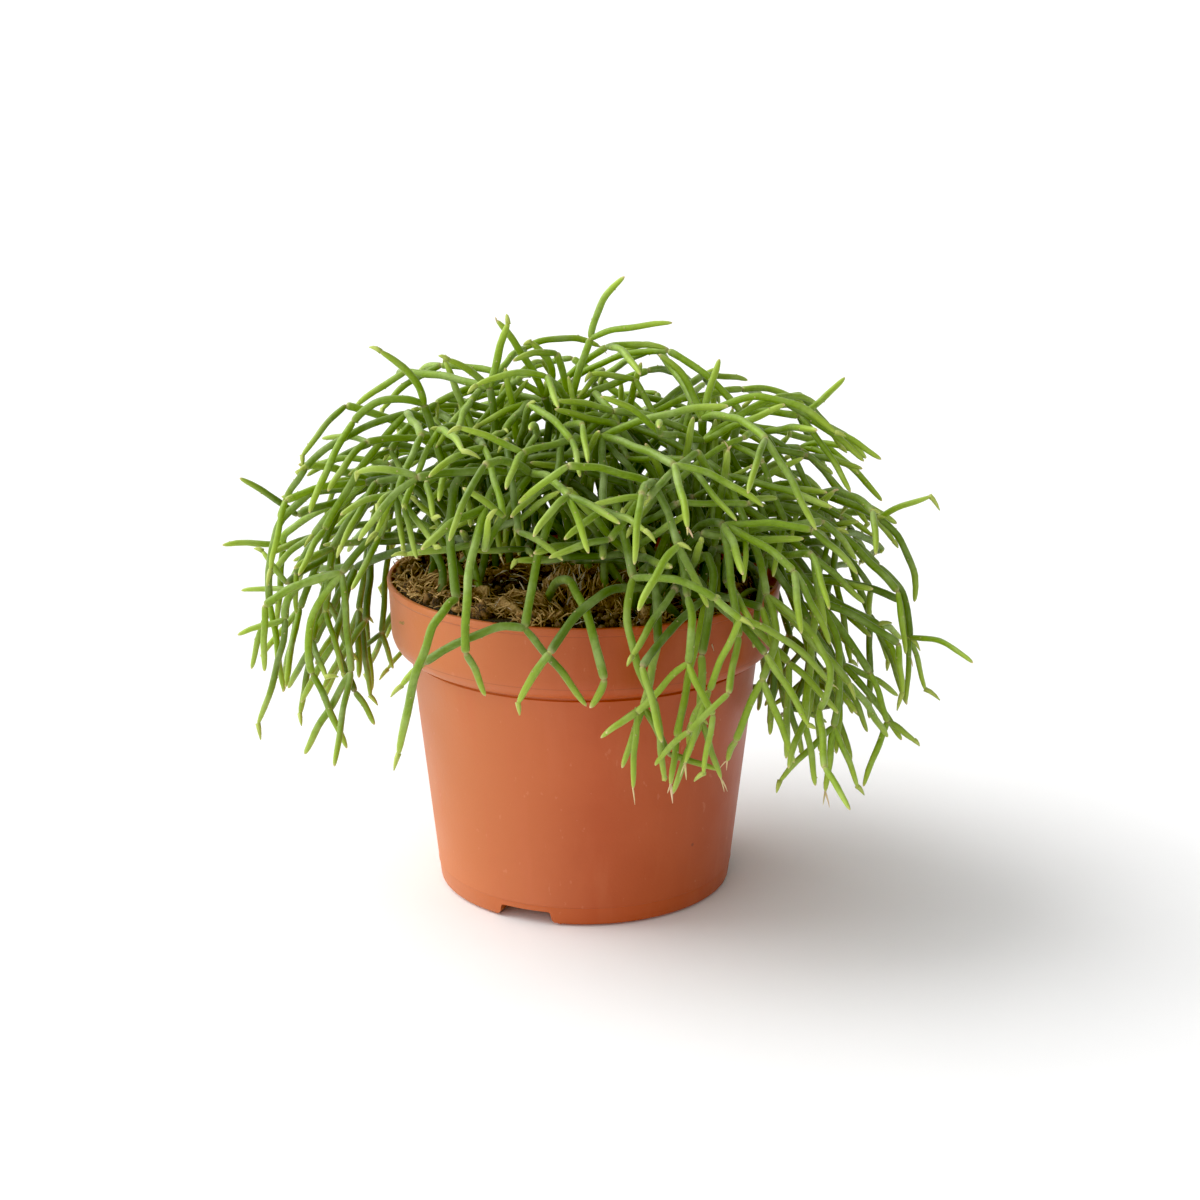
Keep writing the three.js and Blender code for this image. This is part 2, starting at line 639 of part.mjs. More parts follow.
function ringsOf(run, hasForks) {
  const { order, radius, bends, parent } = run;
  const length = lengthOf(bends);
  const spans = spansOf(length);
  const from = parent ? KNOT_AFTER / length : 0;
  const to = hasForks ? 1 - KNOT_BEFORE / length : 1;
  const points = Array.from({ length: spans + 1 }, (_, i) => curve(bends, from + ((to - from) * i) / spans));
  const radii = points.map((_, i) => (i === spans && !hasForks ? TIP_SHARE : 1) * radius);
  if (!parent) {
    points.unshift(pegEnd(bends));
    radii.unshift(radius);
  }
  return ringsAlong(points, radii, SIDES[order]);
}

function spraySolid(spray) {
  const forksOf = (run) => spray.runs.filter((other) => other.parent === run);
  const rings = new Map(spray.runs.map((run) => [run, ringsOf(run, forksOf(run).length > 0)]));
  const tubes = spray.runs.map((run) => tubeThrough(rings.get(run)));
  const knots = spray.runs
    .filter((run) => forksOf(run).length > 0)
    .map((run) => [rings.get(run).at(-1), ...forksOf(run).map((other) => rings.get(other)[0])])
    .map((ends) => wasm.Manifold.hull(ends.flat()));
  return largestBody(wasm.Manifold.union([...tubes, ...knots]));
}

// The hole that a cutting stands in: its peg and the first span above the ground, a little wider
function rootHole(spray) {
  const [{ bends, radius }] = spray.runs;
  const points = [pegEnd(bends, GAP), bends[0], curve(bends, 1 / spansOf(lengthOf(bends)))];
  const radii = points.map(() => radius + 1.6 * GAP);
  return tubeThrough(ringsAlong(points, radii, SIDES[0]));
}

// Assembly

const potPlastic = new THREE.MeshStandardMaterial({ color: 0xb96a45, roughness: 0.5, metalness: 0 });
const peat = new THREE.MeshStandardMaterial({ color: 0x2b1f16, roughness: 0.95, metalness: 0 });
const plugFibre = new THREE.MeshStandardMaterial({ color: 0x6b5135, roughness: 0.95, metalness: 0 });
const stemGreen = new THREE.MeshStandardMaterial({ color: 0x5f8a26, roughness: 0.5, metalness: 0 });

growPlant();
const holes = wasm.Manifold.union(sprays.map(rootHole));
const seats = wasm.Manifold.union(PLUGS.map((plug) => makePlug(plug, GAP)));
const soil = largestBody(makeSoil().subtract(seats).subtract(holes));

const group = new THREE.Group();
group.add(meshOf("pot", makePot(), potPlastic));
group.add(meshOf("soil", soil, peat));
for (const plug of PLUGS) {
  group.add(meshOf(plug.name, largestBody(makePlug(plug, 0).subtract(holes)), plugFibre));
}
for (const spray of sprays) {
  group.add(meshOf(spray.name, spraySolid(spray), stemGreen));
}

export default group;
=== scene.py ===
import json
import math

import bmesh
import bpy
import numpy as np
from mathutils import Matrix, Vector, noise

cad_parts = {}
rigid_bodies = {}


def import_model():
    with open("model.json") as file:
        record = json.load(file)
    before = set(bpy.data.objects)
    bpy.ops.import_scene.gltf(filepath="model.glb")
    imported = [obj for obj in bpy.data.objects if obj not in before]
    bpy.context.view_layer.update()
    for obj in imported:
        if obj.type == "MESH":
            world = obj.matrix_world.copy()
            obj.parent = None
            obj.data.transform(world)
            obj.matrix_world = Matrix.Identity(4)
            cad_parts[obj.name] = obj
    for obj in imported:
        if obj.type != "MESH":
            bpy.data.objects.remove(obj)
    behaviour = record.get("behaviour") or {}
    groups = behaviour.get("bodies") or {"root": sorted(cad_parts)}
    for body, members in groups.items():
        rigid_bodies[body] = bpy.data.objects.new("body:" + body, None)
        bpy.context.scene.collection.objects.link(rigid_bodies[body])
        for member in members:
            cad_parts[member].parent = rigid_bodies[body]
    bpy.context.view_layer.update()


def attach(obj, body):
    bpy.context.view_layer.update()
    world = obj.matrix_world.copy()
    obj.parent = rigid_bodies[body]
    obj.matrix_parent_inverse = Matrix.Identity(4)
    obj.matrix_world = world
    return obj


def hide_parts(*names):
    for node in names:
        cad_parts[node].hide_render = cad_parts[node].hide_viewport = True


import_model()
MM = 0.001  # sizes below are in millimetres until they are multiplied by this

# Camera. It stands 68 cm in front of the plant and a little above it, level from side to side, and looks
# down at the rim of the pot.
CAMERA_AT = (4.8, -680, 283.7)
CAMERA_DIP = 0.2798  # radians below the horizon
CAMERA_LENS = 69.3
CAMERA_SIGHT = 300  # how far it sees, in metres

bpy.ops.object.select_all(action="DESELECT")
bpy.ops.object.camera_add(
    location=[c * MM for c in CAMERA_AT], rotation=(math.pi / 2 - CAMERA_DIP, 0, 0))
camera = bpy.context.object
camera.data.lens = CAMERA_LENS
camera.data.clip_end = CAMERA_SIGHT
bpy.context.scene.camera = camera

# Pot. One thin injection-moulded shell of terracotta-coloured plastic: a flat lip, a deep collar with a
# rounded shoulder, a tapering wall, and a skirt with three notches round a floor with six drain holes.
POT_SIDES = 180
POT_HEIGHT = 97
RIM_RADIUS = 60
FOOT_RADIUS = 45.2
WALL_TOP_RADIUS = 53.4
COLLAR_BOTTOM = 74.3
SKIRT_HEIGHT = 6.2
WALL = 1.4
BASE_UNDERSIDE = 4.6
SHOULDER_MIDDLE = (54.1, 81.6)  # radius and height of the middle of the shoulder's quarter round
SHOULDER_SIZE = (4.95, 7.0)
SHOULDER_STEPS = 10
INNER_WALL = [
    (58.6, 96.5), (58.4, 94), (57.9, 84), (56.6, 79.8), (54.6, 77), (52.3, 75.4), (52, 73.3), (44.7, 7.4)]
NOTCH_TURNS = [math.radians(247 + 120 * i) for i in range(3)]
NOTCH_DEPTH = 26
# Half the width of a notch at each height, from below the foot up to its rounded corners
NOTCH_SIDE = [(9.9, -1), (9.9, 0.3), (9.1, 0.9), (8.6, 1.5), (8.35, 2.2), (8.15, 3.4), (7.9, 4), (7.4, 4.3)]
RETURN_SPAN = (37.4, 43.2)  # inner and outer end of the walls that run in from the sides of a notch
RETURN_WIDTH = 22
RETURN_RISE = (0.3, 5.2)
DRAIN_TURNS = [math.radians(30 + 60 * i) for i in range(6)]
DRAIN_CIRCLE = 27
DRAIN_RADIUS = 4
DRAIN_SIDES = 32
DRAIN_CUT = 12
SHARP_FROM = math.radians(38)  # edges that turn by more than this stay sharp


def from_axis(out, turn, height=0.0):
    """A place at some distance from the pot's axis, in some direction and at some height."""
    return np.array([out * math.cos(turn), out * math.sin(turn), height])


def quarter_round(middle, size, steps):
    """A quarter of an oval from its lowest point out to its side, as radius and height."""
    turns = [math.pi / 2 * i / steps for i in range(steps + 1)]
    return [(middle[0] + size[0] * math.sin(t), middle[1] - size[1] * math.cos(t)) for t in turns]


def turn_up(rings, both_ways=True):
    """Extrudes the selected ring of edges to one ring after another, each given by its radius and height.
    One way only, the ring keeps its length along x, and its sizes are half widths along y."""
    for (radius, height), (next_radius, next_height) in zip(rings, rings[1:]):
        grow_by = next_radius / radius
        bpy.ops.mesh.extrude_edges_indiv()
        bpy.ops.transform.translate(value=(0, 0, (next_height - height) * MM))
        bpy.ops.transform.resize(value=(grow_by if both_ways else 1, grow_by, 1), center_override=(0, 0, 0))


def close_up(from_middle=True):
    """Closes the selected ring, with triangles from its middle or with one face, and faces all outwards."""
    bpy.ops.mesh.edge_face_add()
    if from_middle:
        bpy.ops.mesh.poke()
    bpy.ops.mesh.select_all(action="SELECT")
    bpy.ops.mesh.normals_make_consistent(inside=False)


def combine(piece, other, way="DIFFERENCE"):
    """Cuts a closed form out of a piece, or makes it part of the piece, and removes the form."""
    step = piece.modifiers.new("step", "BOOLEAN")
    step.operation = way
    step.solver = "EXACT"
    step.object = other
    bpy.context.view_layer.objects.active = piece
    bpy.ops.object.modifier_apply(modifier=step.name)
    bpy.data.objects.remove(other)


def settle(piece):
    """Leaves a piece alone and selected, its object at the origin and its place and turn in its mesh."""
    bpy.ops.object.select_all(action="DESELECT")
    piece.select_set(True)
    bpy.context.view_layer.objects.active = piece
    bpy.ops.object.transform_apply(location=True, rotation=True, scale=True)


skirt = [(43, BASE_UNDERSIDE), (43.05, 1.2), (43.15, 0.15), (43.3, 0), (43.55, 0)]
skirt += [(43.7, 0.25), (43.85, 0.6), (44.7, 0.7), (45.1, 0.82), (45.25, 1.2)]
mould_line = [(45.86, 6.1), (46.02, 6.25), (46.02, 6.4), (45.93, 6.55)]
crease = [(WALL_TOP_RADIUS - 0.2, 73.1), (WALL_TOP_RADIUS - 0.7, 73.5), (WALL_TOP_RADIUS - 0.7, 73.9)]
crease += [(WALL_TOP_RADIUS + 0.5, COLLAR_BOTTOM)]
shoulder = quarter_round(SHOULDER_MIDDLE, SHOULDER_SIZE, SHOULDER_STEPS)
collar = [(59.4, 90), (59.55, 94.3), (59.62, 94.6), (59.95, 94.9), (60, 95.3), (60, 96.5), (59.85, 96.85)]
lip = [(59.5, 97), (58.95, 97), (58.7, 96.85)]
floor_edge = [(43.6, SKIRT_HEIGHT)]
pot_rings = [*skirt, *mould_line, *crease, *shoulder, *collar, *lip, *INNER_WALL, *floor_edge]

bpy.ops.object.select_all(action="DESELECT")
bpy.ops.mesh.primitive_circle_add(
    vertices=POT_SIDES, radius=skirt[0][0] * MM, fill_type="TRIFAN", location=(0, 0, skirt[0][1] * MM))
pot = bpy.context.object
pot.name = "pot_moulding"
bpy.ops.object.mode_set(mode="EDIT")
bpy.ops.mesh.region_to_loop()
turn_up(pot_rings)
close_up()
bpy.ops.object.mode_set(mode="OBJECT")
settle(pot)
for turn in NOTCH_TURNS:
    middle = from_axis(sum(RETURN_SPAN) / 2, turn, sum(RETURN_RISE) / 2)
    bpy.ops.mesh.primitive_cube_add(size=1, location=tuple(middle * MM), rotation=(0, 0, turn))
    returns = bpy.context.object
    sides = (RETURN_SPAN[1] - RETURN_SPAN[0], RETURN_WIDTH, RETURN_RISE[1] - RETURN_RISE[0])
    returns.scale = [side * MM for side in sides]
    settle(returns)
    combine(pot, returns, "UNION")
    bpy.ops.mesh.primitive_plane_add(size=1, location=(0, 0, NOTCH_SIDE[0][1] * MM))
    notch = bpy.context.object
    notch.scale = (NOTCH_DEPTH * MM, 2 * NOTCH_SIDE[0][0] * MM, 1)
    settle(notch)
    bpy.ops.object.mode_set(mode="EDIT")
    bpy.ops.mesh.select_all(action="SELECT")
    bpy.ops.mesh.region_to_loop()
    turn_up(NOTCH_SIDE, both_ways=False)
    close_up(from_middle=False)
    bpy.ops.object.mode_set(mode="OBJECT")
    notch.location = tuple(from_axis(FOOT_RADIUS, turn) * MM)
    notch.rotation_euler.z = turn
    settle(notch)
    combine(pot, notch)
for turn in DRAIN_TURNS:
    middle = tuple(from_axis(DRAIN_CIRCLE, turn, BASE_UNDERSIDE) * MM)
    bpy.ops.mesh.primitive_cylinder_add(
        vertices=DRAIN_SIDES, radius=DRAIN_RADIUS * MM, depth=DRAIN_CUT * MM, location=middle)
    settle(bpy.context.object)
    combine(pot, bpy.context.object)
settle(pot)
bpy.ops.object.shade_smooth_by_angle(angle=SHARP_FROM)


def linear(red, green, blue):
    """A colour as the shaders take it, from its screen values of 0 to 255."""
    shares = [c / 255 for c in (red, green, blue)]
    return (*[c / 12.92 if c <= 0.04045 else ((c + 0.055) / 1.055) ** 2.4 for c in shares], 1)


def add_node(tree, kind, inputs=None, **options):
    """Adds a shader node, sets its options, and fills or links its inputs by name or number."""
    made = tree.nodes.new(kind)
    for key, value in options.items():
        setattr(made, key, value)
    for key, value in (inputs or {}).items():
        if isinstance(value, bpy.types.NodeSocket):
            tree.links.new(value, made.inputs[key])
        else:
            made.inputs[key].default_value = value
    return made


def start_material(name):
    """A new material with only its output, and the object's coordinates to build on."""
    material = bpy.data.materials.new(name)
    material.use_nodes = True
    tree = material.node_tree
    tree.nodes.clear()
    return material, tree, add_node(tree, "ShaderNodeTexCoord").outputs["Object"]


def mixed(tree, share, first, second):
    """The colour between two others, by a share of 0 to 1."""
    inputs = {0: share, 6: first, 7: second}
    return add_node(tree, "ShaderNodeMix", inputs, data_type="RGBA").outputs[2]


def ramp(tree, value, low, high, to_low=0.0, to_high=1.0):
    """A number carried from one range to another, and held at its ends."""
    inputs = {"Value": value, "From Min": low, "From Max": high, "To Min": to_low, "To Max": to_high}
    return add_node(tree, "ShaderNodeMapRange", inputs).outputs["Result"]


def worked_out(tree, operation, *values):
    """One number made of up to three others."""
    return add_node(tree, "ShaderNodeMath", dict(enumerate(values)), operation=operation).outputs[0]


def part_of(tree, coordinates, axis):
    """The X, Y or Z of some coordinates."""
    return add_node(tree, "ShaderNodeSeparateXYZ", {"Vector": coordinates}).outputs[axis]


def finish_surface(tree, colour, roughness, height, bump_depth, **constants):
    """Ends a material in one shader, with its bump in millimetres and its constants on its own sockets."""
    bump = add_node(tree, "ShaderNodeBump", {"Height": height, "Distance": bump_depth * MM})
    inputs = {"Base Color": colour, "Roughness": roughness, "Normal": bump.outputs["Normal"], **constants}
    shader = add_node(tree, "ShaderNodeBsdfPrincipled", inputs)
    add_node(tree, "ShaderNodeOutputMaterial", {"Surface": shader.outputs["BSDF"]})


# Cloudy patches and a fine grain, which plastic, peat and plant skin all show, each at its own scale.
MOTTLE_LAYERS = (("Patch Size", "Patches", 3), ("Grain Size", "Grain", 4))  # input, output and detail

mottle = bpy.data.node_groups.new("mottle", "ShaderNodeTree")
mottle.interface.new_socket("Vector", in_out="INPUT", socket_type="NodeSocketVector")
for size, result, _ in MOTTLE_LAYERS:
    mottle.interface.new_socket(size, in_out="INPUT", socket_type="NodeSocketFloat")
    mottle.interface.new_socket(result, in_out="OUTPUT", socket_type="NodeSocketFloat")
given = add_node(mottle, "NodeGroupInput").outputs
put_out = add_node(mottle, "NodeGroupOutput").inputs
for size, result, detail in MOTTLE_LAYERS:
    scale = worked_out(mottle, "DIVIDE", 1, given[size])
    inputs = {"Vector": given["Vector"], "Scale": scale, "Detail": detail}
    cloud = add_node(mottle, "ShaderNodeTexNoise", inputs)
    mottle.links.new(ramp(mottle, cloud.outputs[0], 0.3, 0.7), put_out[result])


def mottled(tree, coordinates, patch_size, grain_size):
    """The patches and grain of a surface, from the sizes of both in millimetres."""
    inputs = {"Vector": coordinates, "Patch Size": patch_size * MM, "Grain Size": grain_size * MM}
    made = add_node(tree, "ShaderNodeGroup", inputs, node_tree=mottle)
    return made.outputs["Patches"], made.outputs["Grain"]


POT_ORANGE = linear(186, 82, 31)
POT_DEEP = linear(179, 76, 28)
POT_DUSTY = linear(193, 98, 54)
# a paler tone, painted on the pot's left side as a highlight
POT_PAINTED_HIGHLIGHT = linear(194, 113, 62)
POT_SCUFF = linear(212, 134, 98)
# a dark tone for the gate mark, and for the painted shade lines round the pot
POT_GATE_MARK_AND_SHADE = linear(120, 52, 28)
POT_CLOUDS = (22, 1.1)  # the sizes of the patches and of the grain
POT_ROUGHNESS = (0.38, 0.5)
POT_RELIEF = 0.02  # how deep its grain is
POT_GLOSS = {"Specular IOR Level": 0.5}
HIGHLIGHT_FROM, HIGHLIGHT_TO = 4, -44  # across the pot: a highlight painted paler on its left side, where the light falls
FLOW_MARKS = (6, 1.5)
FLOW_STRETCH = (1, 1, 0.08)
FLOW_OVER = 0.55  # the share of the patches that stays free of flow marks
FLOW_STRENGTH = 0.35
SCUFFS = (9, 1.6)
SCUFF_TURN = (0.5, 0.3, 0.2)
SCUFF_STRETCH = (1, 0.07, 0.5)
SCUFFED_OVER = 0.975  # the share of the grain that stays free of scuffs
SCUFF_STRENGTH = 0.22
# Height, half width and darkness of thin dark lines painted round the pot as shade: in the crease under the
# collar, on the shoulder, under the step of the lip and along the mould ridge of the foot
PAINTED_SHADE_LINES = [(73.8, 0.45, 0.2), (78.4, 0.22, 0.4), (94.5, 0.25, 0.4), (6.1, 0.2, 0.2)]
GATE_MARK = (32.6, -34.9, 22)
GATE_RADIUS = (0.3, 0.7)
GATE_STRENGTH = 0.8

plastic, tree, place = start_material("terracotta_plastic")
patches, grain = mottled(tree, place, *POT_CLOUDS)
colour = mixed(tree, patches, POT_ORANGE, POT_DEEP)
# Painted highlight: the colour turns paler towards the left side of the pot, where the light falls.
painted_highlight = ramp(tree, part_of(tree, place, "X"), HIGHLIGHT_FROM * MM, HIGHLIGHT_TO * MM)
colour = mixed(tree, painted_highlight, colour, POT_PAINTED_HIGHLIGHT)
flow = add_node(tree, "ShaderNodeMapping", {"Vector": place, "Scale": FLOW_STRETCH})
streaks, _ = mottled(tree, flow.outputs[0], *FLOW_MARKS)
colour = mixed(tree, ramp(tree, streaks, FLOW_OVER, 1, 0, FLOW_STRENGTH), colour, POT_DUSTY)
rubbing = {"Vector": place, "Rotation": SCUFF_TURN, "Scale": SCUFF_STRETCH}
rubbed = add_node(tree, "ShaderNodeMapping", rubbing)
_, scuffs = mottled(tree, rubbed.outputs[0], *SCUFFS)
colour = mixed(tree, ramp(tree, scuffs, SCUFFED_OVER, 1, 0, SCUFF_STRENGTH), colour, POT_SCUFF)
height = part_of(tree, place, "Z")
# Painted shade: thin dark lines at the heights of the crease, the shoulder, the lip's step and the foot's
# ridge.
for line_height, half_width, strength in PAINTED_SHADE_LINES:
    away = worked_out(tree, "ABSOLUTE", worked_out(tree, "SUBTRACT", height, line_height * MM))
    colour = mixed(tree, ramp(tree, away, 0, half_width * MM, strength, 0), colour, POT_GATE_MARK_AND_SHADE)
gate = {0: place, 1: [c * MM for c in GATE_MARK]}
away = add_node(tree, "ShaderNodeVectorMath", gate, operation="DISTANCE").outputs["Value"]
marked = ramp(tree, away, GATE_RADIUS[0] * MM, GATE_RADIUS[1] * MM, GATE_STRENGTH, 0)
colour = mixed(tree, marked, colour, POT_GATE_MARK_AND_SHADE)
roughness = ramp(tree, patches, 0, 1, *POT_ROUGHNESS)
finish_surface(tree, colour, roughness, grain, POT_RELIEF, **POT_GLOSS)
pot.data.materials.clear()
pot.data.materials.append(plastic)
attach(pot, "root")
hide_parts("pot")

# Soil. Moist peat with bark crumbs, coir and fine pale roots, poured round the plugs and filled to a
# finger's breadth below the rim. It is loose, and only the pot holds it.
SOIL_SIDES = 144
SOIL_RINGS = 44
SOIL_LEVEL = 90.5
SOIL_CROWN = 2.5
CROWN_AREA = 3300
SOIL_SIDE = [
    (57.6, SOIL_LEVEL), (57.45, 84), (56.1, 79.8), (51.8, 75.4), (51.5, 73.3), (44.2, 7.4), (43, 6.6)]
RIM_HEAP = 8
BELOW_RIM = 0.3
CRUMBS = 1500
CRUMB_SIZE = (0.35, 1.5)
CRUMB_FIELD = 56
PERLITE_SHARE = 0.07
PERLITE_SIZE = 0.9
SOIL_FIBRES = 420
SOIL_ROOTS = 260
FIBRE_FIELD = 54
FIBRE_REACH = 56
FIBRE_RADIUS = (0.12, 0.32)
ROOT_RADIUS = (0.08, 0.15)
STRAND_SHAPE = np.array([0.5, 0.9, 1, 1, 0.9, 0.7, 0.3])  # a fibre's thickness from its start to its end
EARTH_CLOUDS = (5, 0.7)
EARTH_ROUGHNESS = (0.75, 0.98)
EARTH_RELIEF = 0.35
SKEW = (0.31, 0.87, 0.39)  # nothing runs exactly this way, so a side of any strand or stem is found from it
FULL_TURN = 2 * math.pi


def soil_height(x, y):
    """The uneven surface of the packed soil, in millimetres."""
    mound = SOIL_CROWN * (1 - (x * x + y * y) / CROWN_AREA)
    ripples = 0.9 * np.sin(0.23 * x + 1) * np.cos(0.27 * y)
    return SOIL_LEVEL + mound + ripples + 0.6 * np.sin(0.61 * x) * np.sin(0.53 * y + 2)


def crumble(x, y, z):
    """Fine relief, in millimetres, of anything that is made of crumbs and fibre."""
    lumps = noise.noise(Vector((x, y, z)) * 0.17 + Vector((3, 9, 5)))
    coarse = noise.noise(Vector((x, y, z)) * 0.4)
    fine = noise.noise(Vector((x, y, z)) * 1.1 + Vector((7, 3, 1)))
    return 2.2 * lumps + 1.1 * coarse + 0.5 * fine


def loose_top(x, y):
    """The surface with its crumbs and lumps. The peat was thrown up against the rim at the front left."""
    to_rim = min(1, math.hypot(x, y) / SOIL_SIDE[0][0]) ** 3
    to_left = max(0, min(1, 0.35 - (0.9 * x + 0.35 * y) / SOIL_SIDE[0][0]))
    height = soil_height(x, y) + crumble(x, y, 0) + RIM_HEAP * to_rim * to_left
    return min(height, POT_HEIGHT - BELOW_RIM)


class Chance:
    """A small source of random numbers that gives the same row of them everywhere."""

    FACTOR, SHIFT, STATES = 1664525, 1013904223, 2 ** 32

    def __init__(self, state):
        self.state = state

    def draw(self, low=0.0, high=1.0):
        """A number between two others."""
        self.state = (self.state * self.FACTOR + self.SHIFT) % self.STATES
        return low + (high - low) * self.state / self.STATES

    def swing(self, up=1.0):
        """Three numbers from -1 to 1, the last of them times up."""
        return np.array([self.draw(-1, 1), self.draw(-1, 1), self.draw(-up, up)])


def size_of(v):
    return math.sqrt(v[0] * v[0] + v[1] * v[1] + v[2] * v[2])


def unit(v):
    return v / size_of(v)


def cross(a, b):
    return np.array([a[1] * b[2] - a[2] * b[1], a[2] * b[0] - a[0] * b[2], a[0] * b[1] - a[1] * b[0]])


def take_form(piece):
    """The points and faces of a form that was modelled once, for its copies; the form itself is removed."""
    points = np.array([corner.co for corner in piece.data.vertices])
    faces = [list(face.vertices) for face in piece.data.polygons]
    bpy.data.objects.remove(piece)
    quads = np.array([face for face in faces if len(face) == 4], dtype=int).reshape(-1, 4)
    triangles = np.array([face for face in faces if len(face) == 3], dtype=int).reshape(-1, 3)
    return points, quads, triangles


def ball_form(subdivisions):
    """A ball of radius 1 in triangles, from which crumbs, clods and plugs are shaped."""
    bpy.ops.object.select_all(action="DESELECT")
    bpy.ops.mesh.primitive_ico_sphere_add(subdivisions=subdivisions, radius=1)
    return take_form(bpy.context.object)


def straight_tube(sides, rings):
    """A closed straight tube of radius 1, with its rings 1 apart, that strands and stems are bent from."""
    bpy.ops.object.select_all(action="DESELECT")
    bpy.ops.mesh.primitive_cylinder_add(
        vertices=sides, radius=1, depth=rings - 1, end_fill_type="TRIFAN", location=(0, 0, (rings - 1) / 2))
    tube = bpy.context.object
    settle(tube)
    bpy.ops.object.mode_set(mode="EDIT")
    bpy.ops.mesh.select_mode(type="EDGE")
    bpy.ops.mesh.select_all(action="DESELECT")
    form = bmesh.from_edit_mesh(tube.data)
    for edge in form.edges:
        edge.select_set(abs(edge.verts[0].co.z - edge.verts[1].co.z) > 0.5)
    bmesh.update_edit_mesh(tube.data)
    bpy.ops.mesh.subdivide(number_cuts=rings - 2)
    bpy.ops.object.mode_set(mode="OBJECT")
    return take_form(tube)


def bent(form, centres, radii):
    """The points of a straight tube bent along a row of centres, with a radius at each."""
    points = form[0]
    along = np.gradient(centres, axis=0)
    along /= np.linalg.norm(along, axis=1)[:, None]
    across = np.empty_like(along)
    last = cross(along[0], SKEW)
    for i, way in enumerate(along):
        last = unit(last - way * (last @ way))
        across[i] = last
    up = np.cross(along, across)
    ring = np.rint(points[:, 2]).astype(int)
    reach = points[:, :1] * across[ring] + points[:, 1:2] * up[ring]
    return centres[ring] + radii[ring, None] * reach


class Heap:
    """Copies of modelled forms, gathered into one mesh, each point with its traits for the material."""

    def __init__(self, *traits):
        self.points, self.quads, self.triangles, self.count = [], [], [], 0
        self.traits = {trait: [] for trait in traits}

    def add(self, form, points, **traits):
        """Adds a copy of a form by the places of its points, with one value or one each for every trait."""
        self.points.append(points)
        self.quads.append(form[1] + self.count)
        self.triangles.append(form[2] + self.count)
        self.count += len(points)
        for trait, values in self.traits.items():
            values.append(np.broadcast_to(np.asarray(traits[trait], dtype=float), len(points)))

    def make(self, name, material):
        """Makes one smooth piece of all that was added."""
        mesh = bpy.data.meshes.new(name)
        faces = np.vstack(self.quads).tolist() + np.vstack(self.triangles).tolist()
        mesh.from_pydata((np.vstack(self.points) * MM).tolist(), [], faces)
        for trait, values in self.traits.items():
            mesh.attributes.new(trait, "FLOAT", "POINT").data.foreach_set("value", np.concatenate(values))
        mesh.polygons.foreach_set("use_smooth", [True] * len(faces))
        mesh.materials.append(material)
        piece = bpy.data.objects.new(name, mesh)
        bpy.context.collection.objects.link(piece)
        return piece


def trait_of(tree, name):
    """A trait that the points of a heap carry, such as the tint of each crumb."""
    return add_node(tree, "ShaderNodeAttribute", attribute_name=name).outputs["Fac"]


def earthy_material(name, dark, middle, light, pale):
    """Peat and fibre: from wet dark to dry light by the tint of each crumb or strand, or pale. On plugs and
    clods the tint also paints shade in the hollows of their relief.
    """
    material, tree, place = start_material(name)
    patches, grain = mottled(tree, place, *EARTH_CLOUDS)
    dryness_and_shade = worked_out(tree, "MULTIPLY_ADD", grain, 0.4, trait_of(tree, "tint"))
    dryness_and_shade = worked_out(tree, "MULTIPLY_ADD", patches, 0.3, dryness_and_shade)
    colour = mixed(tree, ramp(tree, dryness_and_shade, 0.3, 0.85), dark, middle)
    colour = mixed(tree, ramp(tree, dryness_and_shade, 0.85, 1.5), colour, light)
    colour = mixed(tree, trait_of(tree, "pale"), colour, pale)
    finish_surface(tree, colour, ramp(tree, grain, 0, 1, *EARTH_ROUGHNESS), grain, EARTH_RELIEF)
    return material


bpy.ops.object.select_all(action="DESELECT")
bpy.ops.mesh.primitive_circle_add(
    vertices=SOIL_SIDES, radius=SOIL_SIDE[0][0] * MM, fill_type="NGON", location=(0, 0, SOIL_LEVEL * MM))
soil_body = bpy.context.object
settle(soil_body)
bpy.ops.object.mode_set(mode="EDIT")
for _ in range(SOIL_RINGS - 1):
    bpy.ops.mesh.inset(thickness=SOIL_SIDE[0][0] / SOIL_RINGS * MM)
bpy.ops.mesh.poke()
bpy.ops.mesh.select_all(action="SELECT")
bpy.ops.mesh.region_to_loop()
turn_up(SOIL_SIDE)
close_up()
bpy.ops.mesh.quads_convert_to_tris()
bpy.ops.object.mode_set(mode="OBJECT")
soil_form = take_form(soil_body)
soil_points = soil_form[0] / MM
for point in soil_points:
    if point[2] > SOIL_LEVEL - 0.01:
        point[2] = loose_top(point[0], point[1])

crumb_form = ball_form(1)
clod_form = ball_form(3)
plug_form = ball_form(5)
strand_form = straight_tube(4, len(STRAND_SHAPE))
chance = Chance(7)


def turned_form(form, size):
    """A form's points, stretched and turned at random."""
    stretch = [size * chance.draw(0.6, 1.25) for _ in range(3)]
    spin, tip = chance.draw(0, FULL_TURN), chance.draw(-0.7, 0.7)
    round_z = [[math.cos(spin), -math.sin(spin), 0], [math.sin(spin), math.cos(spin), 0], [0, 0, 1]]
    round_x = [[1, 0, 0], [0, math.cos(tip), -math.sin(tip)], [0, math.sin(tip), math.cos(tip)]]
    return (form[0] * stretch) @ (np.array(round_z) @ np.array(round_x)).T


def lay_strand(heap, start, end, lift, radius, tint, pale):
    """A fibre or root between two points, bowed up or down and to one side, and thinned to its ends."""
    length = size_of(end - start)
    side = unit(cross(end - start, (0.1, 0.2, 1))) * chance.draw(-0.35, 0.35) * length
    bend = 0.5 * (start + end) + side + np.array([0, 0, lift])
    share = np.linspace(0, 1, len(STRAND_SHAPE))[:, None]
    centres = start * (1 - share) ** 2 + bend * 2 * share * (1 - share) + end * share ** 2
    heap.add(strand_form, bent(strand_form, centres, radius * STRAND_SHAPE), tint=tint, pale=pale)


